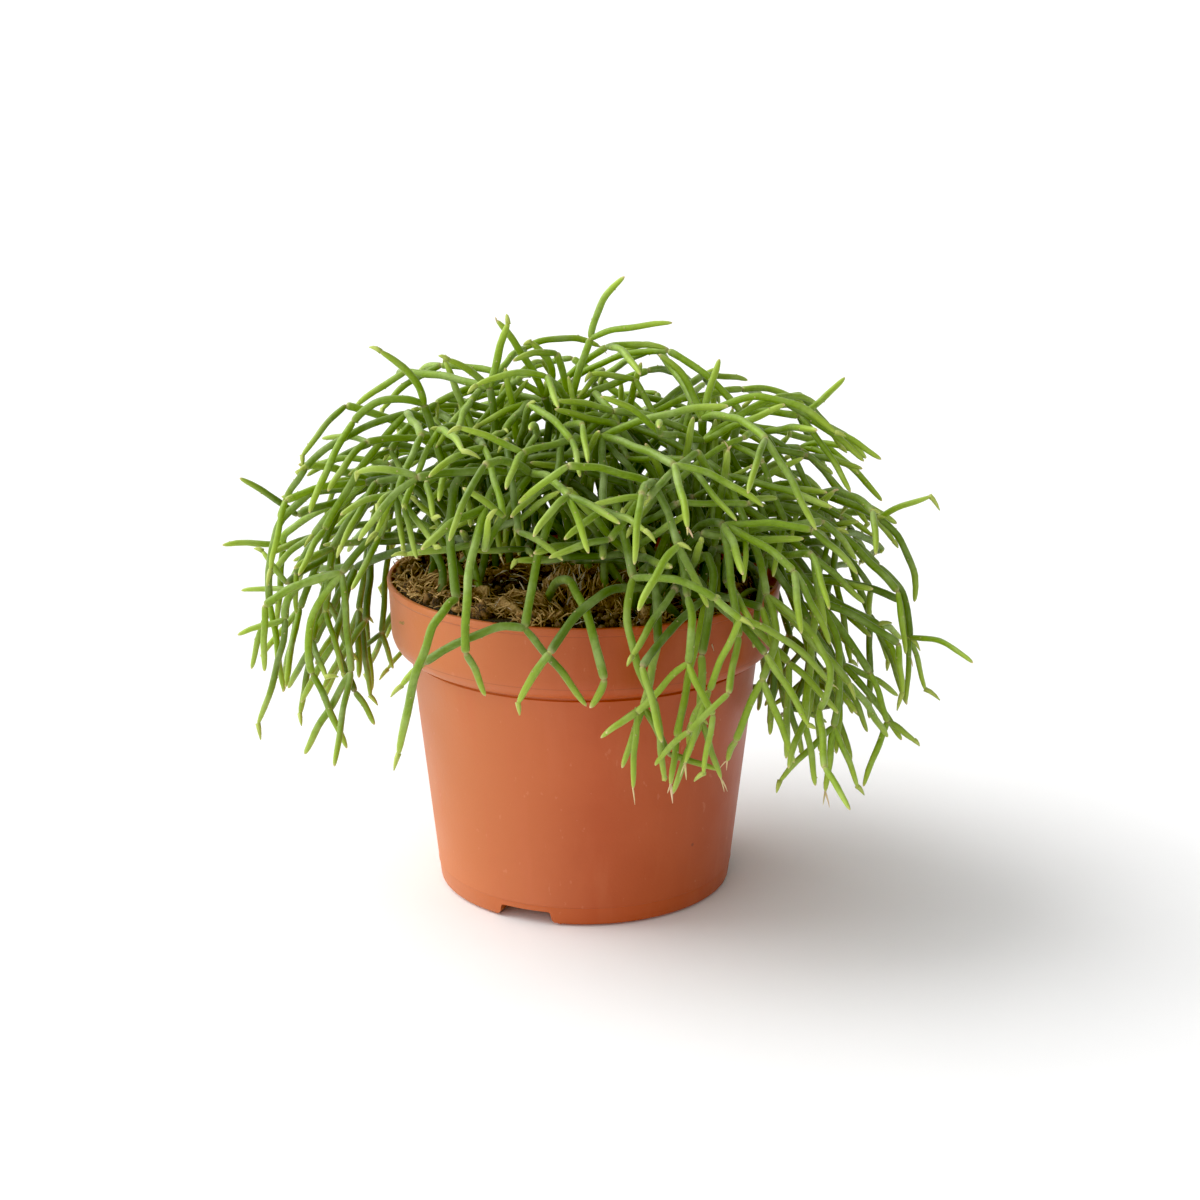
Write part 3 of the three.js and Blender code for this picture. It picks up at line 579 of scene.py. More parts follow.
soil = Heap("tint", "pale")
soil.add(soil_form, soil_points, tint=0.12, pale=0)
for _ in range(CRUMBS):
    turn = chance.draw(0, FULL_TURN)
    at = from_axis(CRUMB_FIELD * math.sqrt(chance.draw()), turn)
    size = CRUMB_SIZE[0] + (CRUMB_SIZE[1] - CRUMB_SIZE[0]) * chance.draw() ** 2.5
    at[2] = loose_top(at[0], at[1]) + 0.4 * size
    pale = 0.9 if chance.draw() < PERLITE_SHARE and size < PERLITE_SIZE else 0
    soil.add(crumb_form, at + turned_form(crumb_form, size), tint=chance.draw(), pale=pale)
for i in range(SOIL_FIBRES + SOIL_ROOTS):
    root = i >= SOIL_FIBRES
    turn = chance.draw(0, FULL_TURN)
    start = from_axis(FIBRE_FIELD * math.sqrt(chance.draw()), turn)
    way, length = chance.draw(0, FULL_TURN), chance.draw(2, 7)
    end = start + from_axis(length, way)
    end *= min(1, FIBRE_REACH / size_of(end))
    for point in (start, end):
        point[2] = loose_top(point[0], point[1]) + 0.15
    lift = chance.draw(0.2, 2.2)
    radius = chance.draw(*(ROOT_RADIUS if root else FIBRE_RADIUS))
    lay_strand(soil, start, end, lift, radius, chance.draw(0, 1.2), 0.85 if root else 0)

peat_tones = [linear(26, 16, 9), linear(80, 56, 32), linear(158, 124, 80), linear(236, 226, 204)]
soil_piece = soil.make("peat_and_crumbs", earthy_material("moist_peat", *peat_tones))
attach(soil_piece, "root")
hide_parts("soil")

# Rooting plugs. Squashed lumps of brown peat and coir fibre, shaggy with loose ends, that the cuttings were
# rooted in. They stand up out of the soil, which was filled in round them.
PLUGS = [
    {"name": "fibre_plug_left", "at": (-40, -19), "radius": 13.5, "top": 101},
    {"name": "fibre_plug_front_left", "at": (-19, -35), "radius": 14, "top": 99},
    {"name": "fibre_plug_front", "at": (1, -15), "radius": 14, "top": 104},
    {"name": "fibre_plug_front_right", "at": (25, -34), "radius": 14, "top": 98},
    {"name": "fibre_plug_right", "at": (38, 0), "radius": 15, "top": 99},
    {"name": "fibre_plug_back", "at": (10, 33), "radius": 16, "top": 99},
    {"name": "fibre_plug_back_left", "at": (-26, 18), "radius": 16, "top": 100},
]
PLUG_DEPTH = 22
PLUG_LUMPS = 0.05
PLUG_STRANDS = 640
PLUG_SHAG = 1.7  # how far its crumbs and clumps stand out, and how fine they are
PLUG_FINENESS = 1.25
LOOSE_SHARE = 0.1
PALE_SHARE = 0.09
CLODS = 9
CLOD_SIZE = (1.1, 2.9)
CLOD_SHAG = 0.9
CLOD_FINENESS = 3.1
CLOD_STRANDS = 15
RIM_CLODS = 26  # these fell off the plug at the left and lie against the rim there
RIM_CLOD_TURNS = (168, 262)
RIM_CLOD_CIRCLE = 54


def plug_surface(plug, ways):
    """Points on the lumpy surface of a plug, in the directions of some unit vectors from its middle."""
    x, y, z = ways.T
    at_x, at_y = plug["at"]
    lump = 1 - PLUG_LUMPS * (1 + np.sin(5 * x + 3 * at_x) * np.sin(4 * y + at_y))
    across, tall = plug["radius"] * lump, PLUG_DEPTH / 2 * lump
    return np.column_stack([at_x + x * across, at_y + y * across, plug["top"] - PLUG_DEPTH / 2 + z * tall])


def shaggy_surface(plug, ways):
    """The surface of a plug with its crumbs and clumps, and how far each point is raised by them."""
    points = plug_surface(plug, ways)
    shag = np.array([PLUG_SHAG * crumble(*(PLUG_FINENESS * point)) for point in points])
    return points + ways * (shag + 0.3)[:, None], shag


def strew_clod(heap, around, out):
    """A clod that crumbled off a plug and lies at some distance from a place, with a few loose fibres."""
    at = around[:2] + from_axis(out, chance.draw(0, FULL_TURN))[:2]
    size = chance.draw(*CLOD_SIZE)
    at *= min(1, (SOIL_SIDE[0][0] - size - 0.3) / math.hypot(*at))
    middle = np.array([*at, loose_top(*at) + 0.25 * size])
    points = middle + turned_form(clod_form, size)
    shag = np.array([CLOD_SHAG * crumble(*(CLOD_FINENESS * point)) for point in points])
    # Painted shade: the clod's tint follows its relief, darker in its hollows and lighter on its raised
    # crumbs.
    heap.add(clod_form, points + clod_form[0] * shag[:, None], tint=0.12 + 0.4 * shag, pale=0)
    for _ in range(CLOD_STRANDS):
        way = unit(chance.swing() + np.array([0, 0, 0.4]))
        start = middle + 0.9 * size * way
        sideways = unit(cross(way, (chance.draw(-1, 1), chance.draw(-1, 1), 0.6)))
        end = start + chance.draw(1.5, 5) * unit(sideways + chance.draw(-0.5, 0.7) * way)
        lift, radius = chance.draw(0, 1.6), chance.draw(0.12, 0.3)
        lay_strand(heap, start, end, lift, radius, chance.draw(0.4, 1.6), 0)


fibre_tones = [linear(50, 31, 13), linear(146, 108, 56), linear(222, 184, 120), linear(240, 226, 196)]
fibre = earthy_material("plug_fibre", *fibre_tones)
for plug in PLUGS:
    heap = Heap("tint", "pale")
    for _ in range(CLODS):
        strew_clod(heap, np.array(plug["at"]), plug["radius"] * chance.draw(0.8, 1.7))
    for _ in range(RIM_CLODS if plug["name"] == "fibre_plug_left" else 0):
        around = from_axis(RIM_CLOD_CIRCLE, math.radians(chance.draw(*RIM_CLOD_TURNS)))
        strew_clod(heap, around, chance.draw(0, 3))
    points, shag = shaggy_surface(plug, plug_form[0])
    # Painted shade: the plug's tint follows its relief, darker in its hollows and lighter on its raised
    # crumbs and clumps.
    heap.add(plug_form, points, tint=0.2 + 0.28 * shag, pale=0)
    combing = unit(chance.swing(up=0.4))
    for _ in range(PLUG_STRANDS):
        turn, rise = chance.draw(0, FULL_TURN), chance.draw(-0.05, 1)
        way = from_axis(math.sqrt(1 - rise * rise), turn, rise)
        swing = unit(cross(way, combing)) + 0.6 * unit(chance.swing())
        length = chance.draw(2.5, 8)
        far_way = unit(way + unit(swing) * length / plug["radius"])
        far_way[2] = max(far_way[2], 0)
        start, end = shaggy_surface(plug, np.array([way, unit(far_way)]))[0]
        loose = chance.draw(1, 3.5) if chance.draw() < LOOSE_SHARE else chance.draw(-0.1, 0.6)
        end = end + loose * unit(far_way)
        radius = chance.draw(*FIBRE_RADIUS)
        pale = 0.8 if chance.draw() < PALE_SHARE else 0
        lay_strand(heap, start, end, chance.draw(0, 1.6), radius, chance.draw(0.1, 1.5), pale)
    tuft = heap.make(plug["name"] + "_tuft", fibre)
    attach(tuft, "root")
    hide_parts(plug["name"])

# Stems. Rooted cuttings of a cactus without leaves or spines: round, waxy green segments that fork from
# the tips of older ones, upright at first, then arching over the rim and hanging, with pale felt at their
# tips and joints. Each is drawn again until it lies clear of all that have grown before it.
STEM_RADIUS = [1.75, 1.7, 1.5, 1.35]  # room taken by a run, by its order of branching
SAMPLE_STEP = 1.6
MOST_SAMPLES = 90000
CLEARANCE = 0.5
JOINT_FREE = 8
ROOT_FREE = 6
ROOT_LIFT = 1.5
PEG_LENGTH = 9
ROOTED_RADIUS = 53
ROOTED_SHARE = 0.8
MOST_TRIES = 70
WALL_SLOPE = (WALL_TOP_RADIUS - FOOT_RADIUS) / COLLAR_BOTTOM
WALL_ROOM = 1.2
PLUG_AT = np.array([plug["at"] for plug in PLUGS])
PLUG_RADIUS = np.array([plug["radius"] for plug in PLUGS])
PLUG_TOP = np.array([plug["top"] for plug in PLUGS])
GOLDEN_ANGLE = math.pi * (3 - math.sqrt(5))


def ground_height(x, y):
    """The height of the soil, or of the plug where one stands out of it, at some places."""
    dx = (np.atleast_1d(x)[:, None] - PLUG_AT[:, 0]) / PLUG_RADIUS
    dy = (np.atleast_1d(y)[:, None] - PLUG_AT[:, 1]) / PLUG_RADIUS
    inside = 1 - dx * dx - dy * dy
    caps = PLUG_TOP - PLUG_DEPTH / 2 * (1 - np.sqrt(np.maximum(inside, 0)))
    return np.maximum(soil_height(x, y), np.where(inside > 0, caps, 0).max(axis=1))


def curve_points(bends, shares):
    """Points on the quadratic curve of three bends, at some shares of the way along it."""
    a, b, c = bends
    t = np.asarray(shares, dtype=float)[:, None]
    return a * (1 - t) * (1 - t) + b * 2 * t * (1 - t) + c * t * t


def length_of(bends):
    """The length of the curve of three bends, near enough."""
    a, b, c = bends
    return 0.5 * (size_of(b - a) + size_of(c - b) + size_of(c - a))


def samples_of(bends):
    """Points along the curve of three bends, about as far apart as the sample step."""
    count = math.ceil(length_of(bends) / SAMPLE_STEP)
    return curve_points(bends, np.arange(count + 1) / count)


def peg_end(bends):
    """The lower end of the part of a cutting that is stuck in its plug."""
    return bends[0] + PEG_LENGTH * unit(bends[0] - bends[1])


def clear_of_pot(path, radius, from_root):
    """True where a path keeps off the pot, the soil and the plugs."""
    room = radius + CLEARANCE
    x, y, z = path.T
    out = np.sqrt(x * x + y * y)
    wall = np.where(z > COLLAR_BOTTOM - 2, RIM_RADIUS, FOOT_RADIUS + WALL_ROOM + WALL_SLOPE * z)
    over_rim = (z > POT_HEIGHT + room) | (out > wall + room)
    over_soil = (from_root < ROOT_FREE) | (z > ground_height(x, y) + room)
    return np.where(out > RIM_RADIUS - 2 * WALL - radius, over_rim, over_soil).all()


class Growth:
    """All the runs so far, as samples along them: the place, the radius and the number of the spray."""

    def __init__(self):
        self.samples, self.count = np.zeros((MOST_SAMPLES, 5)), 0

    def add(self, path, radius, number):
        """Takes in the samples of a new run."""
        rows = self.samples[self.count:self.count + len(path)]
        rows[:, :3], rows[:, 3], rows[:, 4] = path, radius, number
        self.count += len(path)

    def leaves_room(self, path, radius, number, clearance):
        """True where no run comes too near, apart from its own spray at the joint that it starts from."""
        margin = radius + STEM_RADIUS[0] + CLEARANCE
        low, high = path.min(axis=0) - margin, path.max(axis=0) + margin
        rows = self.samples[:self.count]
        rows = rows[(rows[:, 0] >= low[0]) & (rows[:, 0] <= high[0])]
        rows = rows[((rows[:, 1:3] >= low[1:]) & (rows[:, 1:3] <= high[1:])).all(axis=1)]
        own = rows[:, 4] == number
        free = own & (((rows[:, :3] - path[0]) ** 2).sum(axis=1) < JOINT_FREE * JOINT_FREE)
        rows, own = rows[~free], own[~free]
        least = radius + rows[:, 3] + np.where(own, 0, clearance)
        apart = ((rows[:, None, :3] - path[None]) ** 2).sum(axis=2)
        return (apart >= (least * least)[:, None]).all()


class Spray:
    """All that grows from one cutting."""

    count = 0

    def __init__(self, name):
        Spray.count += 1
        self.name, self.number, self.runs = name, Spray.count, []


class Run:
    """One segment: three bends of a curve from a joint to its tip, its order of branching, its parent."""

    def __init__(self, spray, parent, bends, order):
        self.spray, self.parent, self.bends, self.order = spray, parent, bends, order
        self.forked = False
        spray.runs.append(self)
        if parent:
            parent.forked = True


growth = Growth()


def grow(spray, parent, propose, within, clearance=CLEARANCE):
    """Draws a run up to MOST_TRIES times and keeps the first that is clear, or none."""
    order = min(parent.order + 1, len(STEM_RADIUS) - 1) if parent else 0
    radius = STEM_RADIUS[order]
    for attempt in range(MOST_TRIES):
        bends = propose(attempt)
        if bends is None or (not parent and math.hypot(*peg_end(bends)[:2]) > ROOTED_RADIUS):
            continue
        path = samples_of(bends)
        from_root = np.full(len(path), math.inf) if parent else np.arange(len(path)) * SAMPLE_STEP
        if not within(path) or not clear_of_pot(path, radius, from_root):
            continue
        if not parent:
            path = np.vstack([samples_of([peg_end(bends), bends[0], bends[0]]), path])
        if growth.leaves_room(path, radius, spray.number, clearance):
            growth.add(path, radius, spray.number)
            return Run(spray, parent, bends, order)
    return None


draw = Chance(164).draw
sprays = []


def root_in(plug):
    """A root in the middle part of a plug, a little above its surface."""
    turn = draw(0, FULL_TURN)
    out = ROOTED_SHARE * plug["radius"] * math.sqrt(draw())
    x, y = np.add(plug["at"], from_axis(out, turn)[:2])
    return np.array([x, y, ground_height(x, y)[0] + ROOT_LIFT])


# Leading sprays: the stems that give the plant its outline and those that hang in front of the pot. Each
# has the number of its plug and its runs: the number of the parent run or -1, a via point or None, the tip.
LEADERS = [
    ("trailer_front_left", 2, [
        (-1, (-32, -32, 137), (-35, -64, 107)),
        (0, (-43, -76, 97), (-52, -67, 62)),
    ]),
    ("trailer_front_middle", 2, [
        (-1, (-17, -18, 130), (-27, -52, 130)),
        (0, (-31, -69, 116), (-32, -76, 95)),
        (1, None, (-27, -71, 81)),
    ]),
    ("trailer_front_forked", 2, [
        (-1, (-7, -40, 127), (-16, -70, 100)),
        (0, (-27, -72, 100), (-44, -69, 90)),
        (1, None, (-51, -66, 82)),
        (0, (-8, -72, 91), (1, -68, 77)),
    ]),
    ("trailer_front_low", 3, [
        (-1, (8, -56, 107), (-9, -76, 95)),
        (0, None, (-18, -73, 80)),
    ]),
    ("trailer_front_short", 1, [
        (-1, (-2, -60, 104), (6, -69, 86)),
        (0, None, (2, -68, 78)),
    ]),
    ("trailer_right_forked", 2, [
        (-1, (8, -34, 125), (14, -60, 112)),
        (0, (13, -70, 98), (20, -72, 80)),
        (1, None, (23, -68, 55)),
        (1, None, (5, -72, 69)),
        (0, (26, -74, 115), (36, -78, 111)),
        (4, None, (43, -77, 105)),
        (5, (57, -73, 97), (69, -66, 83)),
        (5, None, (35, -75, 84)),
    ]),
    ("trailer_right_inner", 3, [
        (-1, (25, -42, 121), (29, -66, 108)),
        (0, (30, -74, 102), (29, -75, 92)),
        (1, None, (36, -77, 78)),
        (1, None, (15, -77, 78)),
    ]),
    ("trailer_right_long", 3, [
        (-1, (19, -50, 112), (21, -65, 94)),
        (0, None, (17, -66, 76)),
        (1, None, (11, -69, 59)),
        (1, None, (24, -66, 62)),
    ]),
    ("trailer_right_outer", 3, [
        (-1, (36, -48, 114), (33, -68, 92)),
        (0, None, (33, -70, 73)),
        (1, None, (39, -67, 55)),
        (1, None, (25, -74, 53)),
    ]),
    ("trailer_corner_right", 4, [
        (-1, (46, -26, 120), (52, -50, 104)),
        (0, (54, -60, 96), (50, -66, 84)),
        (1, None, (60, -62, 58)),
        (1, None, (43, -66, 66)),
        (0, (64, -62, 92), (66, -74, 76)),
        (4, None, (66, -88, 66)),
        (5, None, (72, -99, 58)),
    ]),
    ("crown_tall", 2, [
        (-1, (-6, 4, 128), (-4, 0, 150)),
        (0, None, (2, 0, 169)),
        (1, (5, 0, 179), (12, -4, 188)),
        (1, (12, -5, 173), (26, -8, 175)),
        (0, None, (-8, -8, 166)),
    ]),
    ("crown_left", 0, [
        (-1, (-26, -8, 128), (-28, -4, 155)),
        (0, None, (-22, -6, 175)),
        (0, (-34, -8, 161), (-40, -12, 165)),
    ]),
    ("crown_left_back", 6, [
        (-1, (-14, 12, 128), (-12, 8, 150)),
        (0, (-18, 5, 163), (-26, 3, 174)),
        (0, (-10, 2, 160), (-16, -4, 169)),
    ]),
    ("crown_far_left", 0, [
        (-1, (-40, -12, 128), (-47, -10, 151)),
        (0, (-50, -14, 160), (-59, -20, 169)),
        (0, (-58, -12, 153), (-68, -10, 146)),
    ]),
    ("crown_right", 4, [
        (-1, (33, -8, 126), (35, -10, 147)),
        (0, (54, -14, 154), (74, -18, 144)),
        (0, None, (40, -6, 164)),
        (0, (30, -8, 158), (22, -10, 166)),
    ]),
    ("crown_far_right", 4, [
        (-1, (42, -2, 130), (47, -2, 147)),
        (0, None, (64, -6, 147)),
        (1, None, (88, -12, 135)),
        (1, (72, -2, 152), (78, 2, 157)),
    ]),
    ("arch_left", 0, [
        (-1, (-48, -12, 124), (-65, -8, 127)),
        (0, (-88, -12, 119), (-94, -16, 92)),
        (1, None, (-90, -22, 66)),
        (1, None, (-101, -12, 70)),
    ]),
    ("arch_left_high", 6, [
        (-1, (-40, 14, 132), (-53, -2, 147)),
        (0, (-71, -9, 141), (-82, -14, 133)),
        (1, None, (-92, -6, 116)),
    ]),
    ("arch_left_far", 6, [
        (-1, (-50, 18, 121), (-74, 6, 118)),
        (0, None, (-87, 0, 115)),
        (1, None, (-103, -6, 128)),
        (0, (-90, 14, 108), (-94, 18, 101)),
        (3, None, (-112.5, 14, 102)),
        (3, None, (-97, 16, 74)),
    ]),
    ("hanger_left", 0, [
        (-1, (-52, -18, 118), (-71, -26, 104)),
        (0, (-80, -30, 90), (-80, -32, 75)),
        (1, None, (-70, -36, 53)),
        (0, (-85, -20, 98), (-89, -20, 88)),
        (3, None, (-103, -22, 84)),
        (3, (-91, -22, 76), (-98, -24, 56)),
    ]),
    ("hanger_left_low", 0, [
        (-1, (-52, -8, 113), (-70, -12, 98)),
        (0, None, (-75, -18, 80)),
        (1, None, (-68, -28, 68)),
        (2, None, (-62, -32, 59)),
        (1, None, (-86, -14, 60)),
    ]),
    ("arch_right", 4, [
        (-1, (56, -12, 120), (76, -14, 113)),
        (0, None, (88, -14, 103)),
        (1, (95, -20, 95), (97, -22, 83)),
        (2, (105, -34, 85), (112.5, -44, 82)),
        (2, None, (96, -27, 64)),
        (2, None, (103, -18, 65)),
    ]),
    ("arch_right_high", 4, [
        (-1, (52, 2, 124), (72, 0, 120)),
        (0, None, (89, -3, 115)),
        (1, (95, -6, 119), (104, -8, 123)),
        (1, (98, -6, 104), (100, -8, 90)),
    ]),
    ("arch_back", 5, [
        (-1, (6, 52, 121), (8, 72, 108)),
        (0, (6, 86, 98), (2, 90, 82)),
        (0, (14, 84, 107), (20, 98.8, 98)),
        (2, None, (30, 96, 78)),
        (1, None, (-8, 92, 58)),
    ]),
    ("hanger_right", 4, [
        (-1, (52, -20, 114), (68, -34, 98)),
        (0, (74, -41, 84), (73, -42, 62)),
        (1, None, (57, -46, 46)),
        (1, None, (71, -43, 42)),
        (1, None, (81, -40, 42)),
        (0, None, (84, -34, 76)),
        (5, None, (90, -32, 60)),
        (6, None, (83, -36, 41)),
        (6, None, (99, -30, 53)),
    ]),
]

OWN_BOW = 0.07  # rise of a run that bows by itself, as a share of its length
STEEPEST_START = 0.55
VIA_SHIFT = (0.12, 0.5, 0.2)
TIP_SHIFT = (0, 0.3, 0)


def shift_by(amounts, attempt):
    """A random shift of up to some amounts along x, y and z for each attempt so far."""
    return np.array([amount * attempt * draw(-1, 1) for amount in amounts])


def lead_run(plug, parent, via, tip):
    """How a leading run is drawn: through its via point to its tip, moved a little more with each try."""

    def propose(attempt):
        start = parent.bends[2] if parent else root_in(plug)
        shift = shift_by(VIA_SHIFT, attempt)
        end = tip + shift_by(TIP_SHIFT, attempt)
        if via is None:
            middle = start + 0.5 * (end - start)
            middle[2] += OWN_BOW * size_of(end - start)
            return [start, middle + shift, end]
        bend = 2 * (via + shift) - (start + end) / 2
        steep = parent or unit(bend - start)[2] > STEEPEST_START
        return [start, bend, end] if steep else None

    return propose


def grow_leader(name, plug_number, runs):
    """A leading spray, without the runs that found no room and those that would have grown from them."""
    spray = Spray(name)
    made = []
    for parent_number, via, tip in runs:
        parent = made[parent_number] if parent_number >= 0 else None
        if parent_number >= 0 and parent is None:
            made.append(None)
            continue
        via = None if via is None else np.array(via)
        propose = lead_run(PLUGS[plug_number], parent, via, np.array(tip))
        made.append(grow(spray, parent, propose, lambda path: True))
    if made[0]:
        sprays.append(spray)


# Where the stems that grow by rule may go: under a dome, above the hem of the hanging fringe, and out of
# the bare places, which are the soil at the front left and the front of the pot.
DOME = {"across": 100, "deep": 92, "tall": 76, "springs": 92}
HEM_HEIGHT = 45
HEM_WAVE = 6
FRINGE_HEIGHT = 62
CORNER_FRINGE_HEIGHT = 86
CORNER_FROM = 40
BARE_SOIL = {"left": -62, "right": 13, "back": -4, "top": 100, "rise": 0.28}
BARE_FRONT = {"left": 12, "right": 54, "back": -30}


def place_in_dome(path, dome):
    """How far out points are in plan, squared, and how far up, both as shares of a dome's own size."""
    x, y, z = path.T
    plan = (x / dome["across"]) ** 2 + (y / dome["deep"]) ** 2
    return plan, np.maximum(z - dome["springs"], 0) / dome["tall"]


def within_plant(path):
    """True where a path keeps to the dome and out of the bare places."""
    x, y, z = path.T
    plan, rise = place_in_dome(path, DOME)
    out = np.sqrt(plan)
    outside = out * out * np.sqrt(out) + rise * rise > 1
    under_hem = z < HEM_HEIGHT + HEM_WAVE * np.sin(0.07 * x) * np.cos(0.06 * y)
    over_soil = (x > BARE_SOIL["left"]) & (x < BARE_SOIL["right"]) & (y < BARE_SOIL["back"])
    over_soil &= z < BARE_SOIL["top"] - BARE_SOIL["rise"] * y
    before_pot = (x > BARE_FRONT["left"]) & (x < BARE_FRONT["right"]) & (y < BARE_FRONT["back"])
    before_pot &= z < np.where(x < CORNER_FROM, FRINGE_HEIGHT, CORNER_FRINGE_HEIGHT)
    return not (outside | under_hem | over_soil | before_pot).any()


def tilted(direction, tilt, turn):
    """A direction tilted from another by an angle, turned round it by another."""
    across = unit(cross(direction, (0, 0, 1) if abs(direction[2]) < 0.9 else (1, 0, 0)))
    up = cross(across, direction)
    side = across * math.cos(turn) + up * math.sin(turn)
    return unit(direction * math.cos(tilt) + side * math.sin(tilt))


PLACES = 44
TOP_COSINE = 0.98  # of the angle between upright and the first place
COSINE_DROP = 1.06  # from the first place to the last, which hangs a little below level
ROOTED_OUT = 0.55  # how far out a shoot is rooted, as a share of how far out its joint is
SHOOT_BEND = (0.15, 0.45)
SHOOT_RISE = (0.35, 0.7)


def nearest_plug(x, y):
    """The plug that lies nearest to a place, or one of those that are nearly as near."""
    far = [math.hypot(plug["at"][0] - x, plug["at"][1] - y) * draw(0.6, 1) for plug in PLUGS]
    return PLUGS[far.index(min(far))]


def grow_first_shoot(name, place, clearance, reaches=(0.62, 0.8)):
    """A first shoot to one of a spiral of places round the dome, from its crown to where it hangs."""
    fall = math.acos(TOP_COSINE - COSINE_DROP * place / PLACES)
    spray = Spray(name)

    def propose(_):
        turn = place * GOLDEN_ANGLE + draw(-0.2, 0.2)
        reach = draw(*reaches)
        out = reach * math.sin(fall)
        up = DOME["springs"] + reach * DOME["tall"] * math.cos(fall)
        joint = np.array([DOME["across"] * out * math.cos(turn), DOME["deep"] * out * math.sin(turn), up])
        start = root_in(nearest_plug(ROOTED_OUT * joint[0], ROOTED_OUT * joint[1]))
        across = draw(*SHOOT_BEND)
        rise = draw(*SHOOT_RISE) * math.hypot(joint[0] - start[0], joint[1] - start[1])
        bend = start + across * (joint - start)
        bend[2] = max(0.5 * (start[2] + joint[2]), joint[2] - 12) + rise
        return [start, bend, joint]

    shoot = grow(spray, None, propose, within_plant, clearance)
    if shoot:
        sprays.append(spray)
    return shoot


# How many runs fork from a tip, how long they are, how far they spread and how much they droop, by order.
FORKS = [
    None,
    {"count": (3.5, 5.5), "length": (25, 44), "spread": (0.35, 1.15), "droop": (0, 0.6)},
    {"count": (1.5, 3.5), "length": (17, 34), "spread": (0.3, 0.9), "droop": (0.1, 0.9)},
    {"count": (0.6, 2.6), "length": (11, 26), "spread": (0.3, 1.0), "droop": (0.1, 0.9)},
]


def fork(parent, place, rule, clearance, within):
    """A run that spreads from the tip of another, towards one side, and droops at its end."""
    start = parent.bends[2]
    heading = unit(start - parent.bends[1])

    def propose(_):
        length = draw(*rule["length"])
        tilt = draw(*rule["spread"])
        way = tilted(heading, tilt, place + draw(-0.7, 0.7))
        bend = start + 0.5 * length * way
        low = unit(way + np.array([0, 0, -draw(*rule["droop"])]))
        return [start, bend, bend + 0.5 * length * low]

    return grow(parent.spray, parent, propose, within, clearance)


def fork_all(parents, fewer, clearance=CLEARANCE, rules=FORKS, within=within_plant):
    """The runs that fork from the tips of some others, so many fewer at each than its rule says."""
    made = []
    for parent in parents:
        rule = rules[min(parent.order + 1, 3)]
        count = math.floor(draw(*rule["count"]) + 0.5) - fewer
        turn = draw(0, FULL_TURN)
        made += [fork(parent, turn + FULL_TURN * k / count, rule, clearance, within) for k in range(count)]
    return [run for run in made if run]


for leader in LEADERS:
    grow_leader(*leader)
behind_front = [run for spray in sprays for run in spray.runs if run.bends[2][1] > -RIM_RADIUS]
leader_shoots = [run for run in behind_front if run.order == 0]
leader_twigs = [run for i, run in enumerate(behind_front) if run.order == 1 and i % 3 == 0]
shoots = [grow_first_shoot(f"spray_{place + 1:02d}", place, CLEARANCE) for place in range(PLACES)]
twigs = fork_all([run for run in shoots if run], 0) + fork_all(leader_shoots, 2)
fork_all(twigs + leader_twigs, 0)
packed_sprays = list(sprays)

# Finer growth that only the finished plant has: thinner cuttings that fill the crown between the sprays
# above, and straighter twigs that cross them and stand out on all sides. They may lie closer together.
CLOSE = -0.6  # taken off the room between two stems, which stay a hair apart since they are slimmer than it
FILL_PLACES = 80
FILL_REACHES = (0.45, 0.75)
FINE_FORKS = [
    None,
    {"count": (3.5, 5.5), "length": (24, 42), "spread": (0.3, 1.25), "droop": (-0.25, 0.45)},
    {"count": (1.8, 3.5), "length": (18, 34), "spread": (0.25, 1.0), "droop": (-0.25, 0.55)},
    {"count": (1, 2.6), "length": (13, 30), "spread": (0.25, 1.0), "droop": (-0.2, 0.7)},
]
FINE_HEM = 56
HEM_TO_LEFT = 0.09
HEM_TO_FRONT = 0.3
FINE_DEPTH = 0.89
OUTER_DOME = {"across": 107, "deep": 96, "tall": 85, "springs": 80}
REACHING_HEIGHT = 104
REACHING_SIDE = 60  # beyond this to either side tips reach out from lower down too
LOWEST_REACH = 80
REACH_FROM = 60  # height of the point that reaching tips lean away from
REACH_TILT = (0.1, 0.8)
REACH_LENGTH = (14, 34)
THICKET_SHOOTS = 70
THICKET_REACH = 62
THICKET_BACK = 14
THICKET_HEIGHT = (112, 158)
THICKET_FALL = 22


def depth_in_dome(path):
    """How far out points lie between the middle of the crown, at 0, and the face of the dome, at 1."""
    plan, rise = place_in_dome(path, DOME)
    return np.sqrt(plan + rise * rise)


def within_finish(path):
    """As within_plant, but a little below its face, and with a hem that rises to the left and the front."""
    x, y, z = path.T
    hem = FINE_HEM - HEM_TO_LEFT * x - HEM_TO_FRONT * y
    return within_plant(path) and not ((z < hem) | (depth_in_dome(path) > FINE_DEPTH)).any()


def within_reach(path):
    """True where a path keeps to the space that single tips may stand out into."""
    plan, rise = place_in_dome(path, OUTER_DOME)
    return not ((plan + rise * rise > 1) | (path[:, 2] < LOWEST_REACH)).any()


def reach_out(parent):
    """A straight tip that stands out of the crown, up and away from the middle of the plant."""
    start = parent.bends[2]
    away = unit((start - np.array([0, 0, REACH_FROM])) * np.array([0.7, 0.7, 1]))

    def propose(_):
        way = tilted(away, draw(*REACH_TILT), draw(0, FULL_TURN))
        length = draw(*REACH_LENGTH)
        bend = start + 0.5 * length * way
        turned = unit(way + np.array([0, 0, draw(-0.35, 0.35)]))
        return [start, bend, bend + 0.5 * length * turned]

    return grow(parent.spray, parent, propose, within_reach, CLOSE)


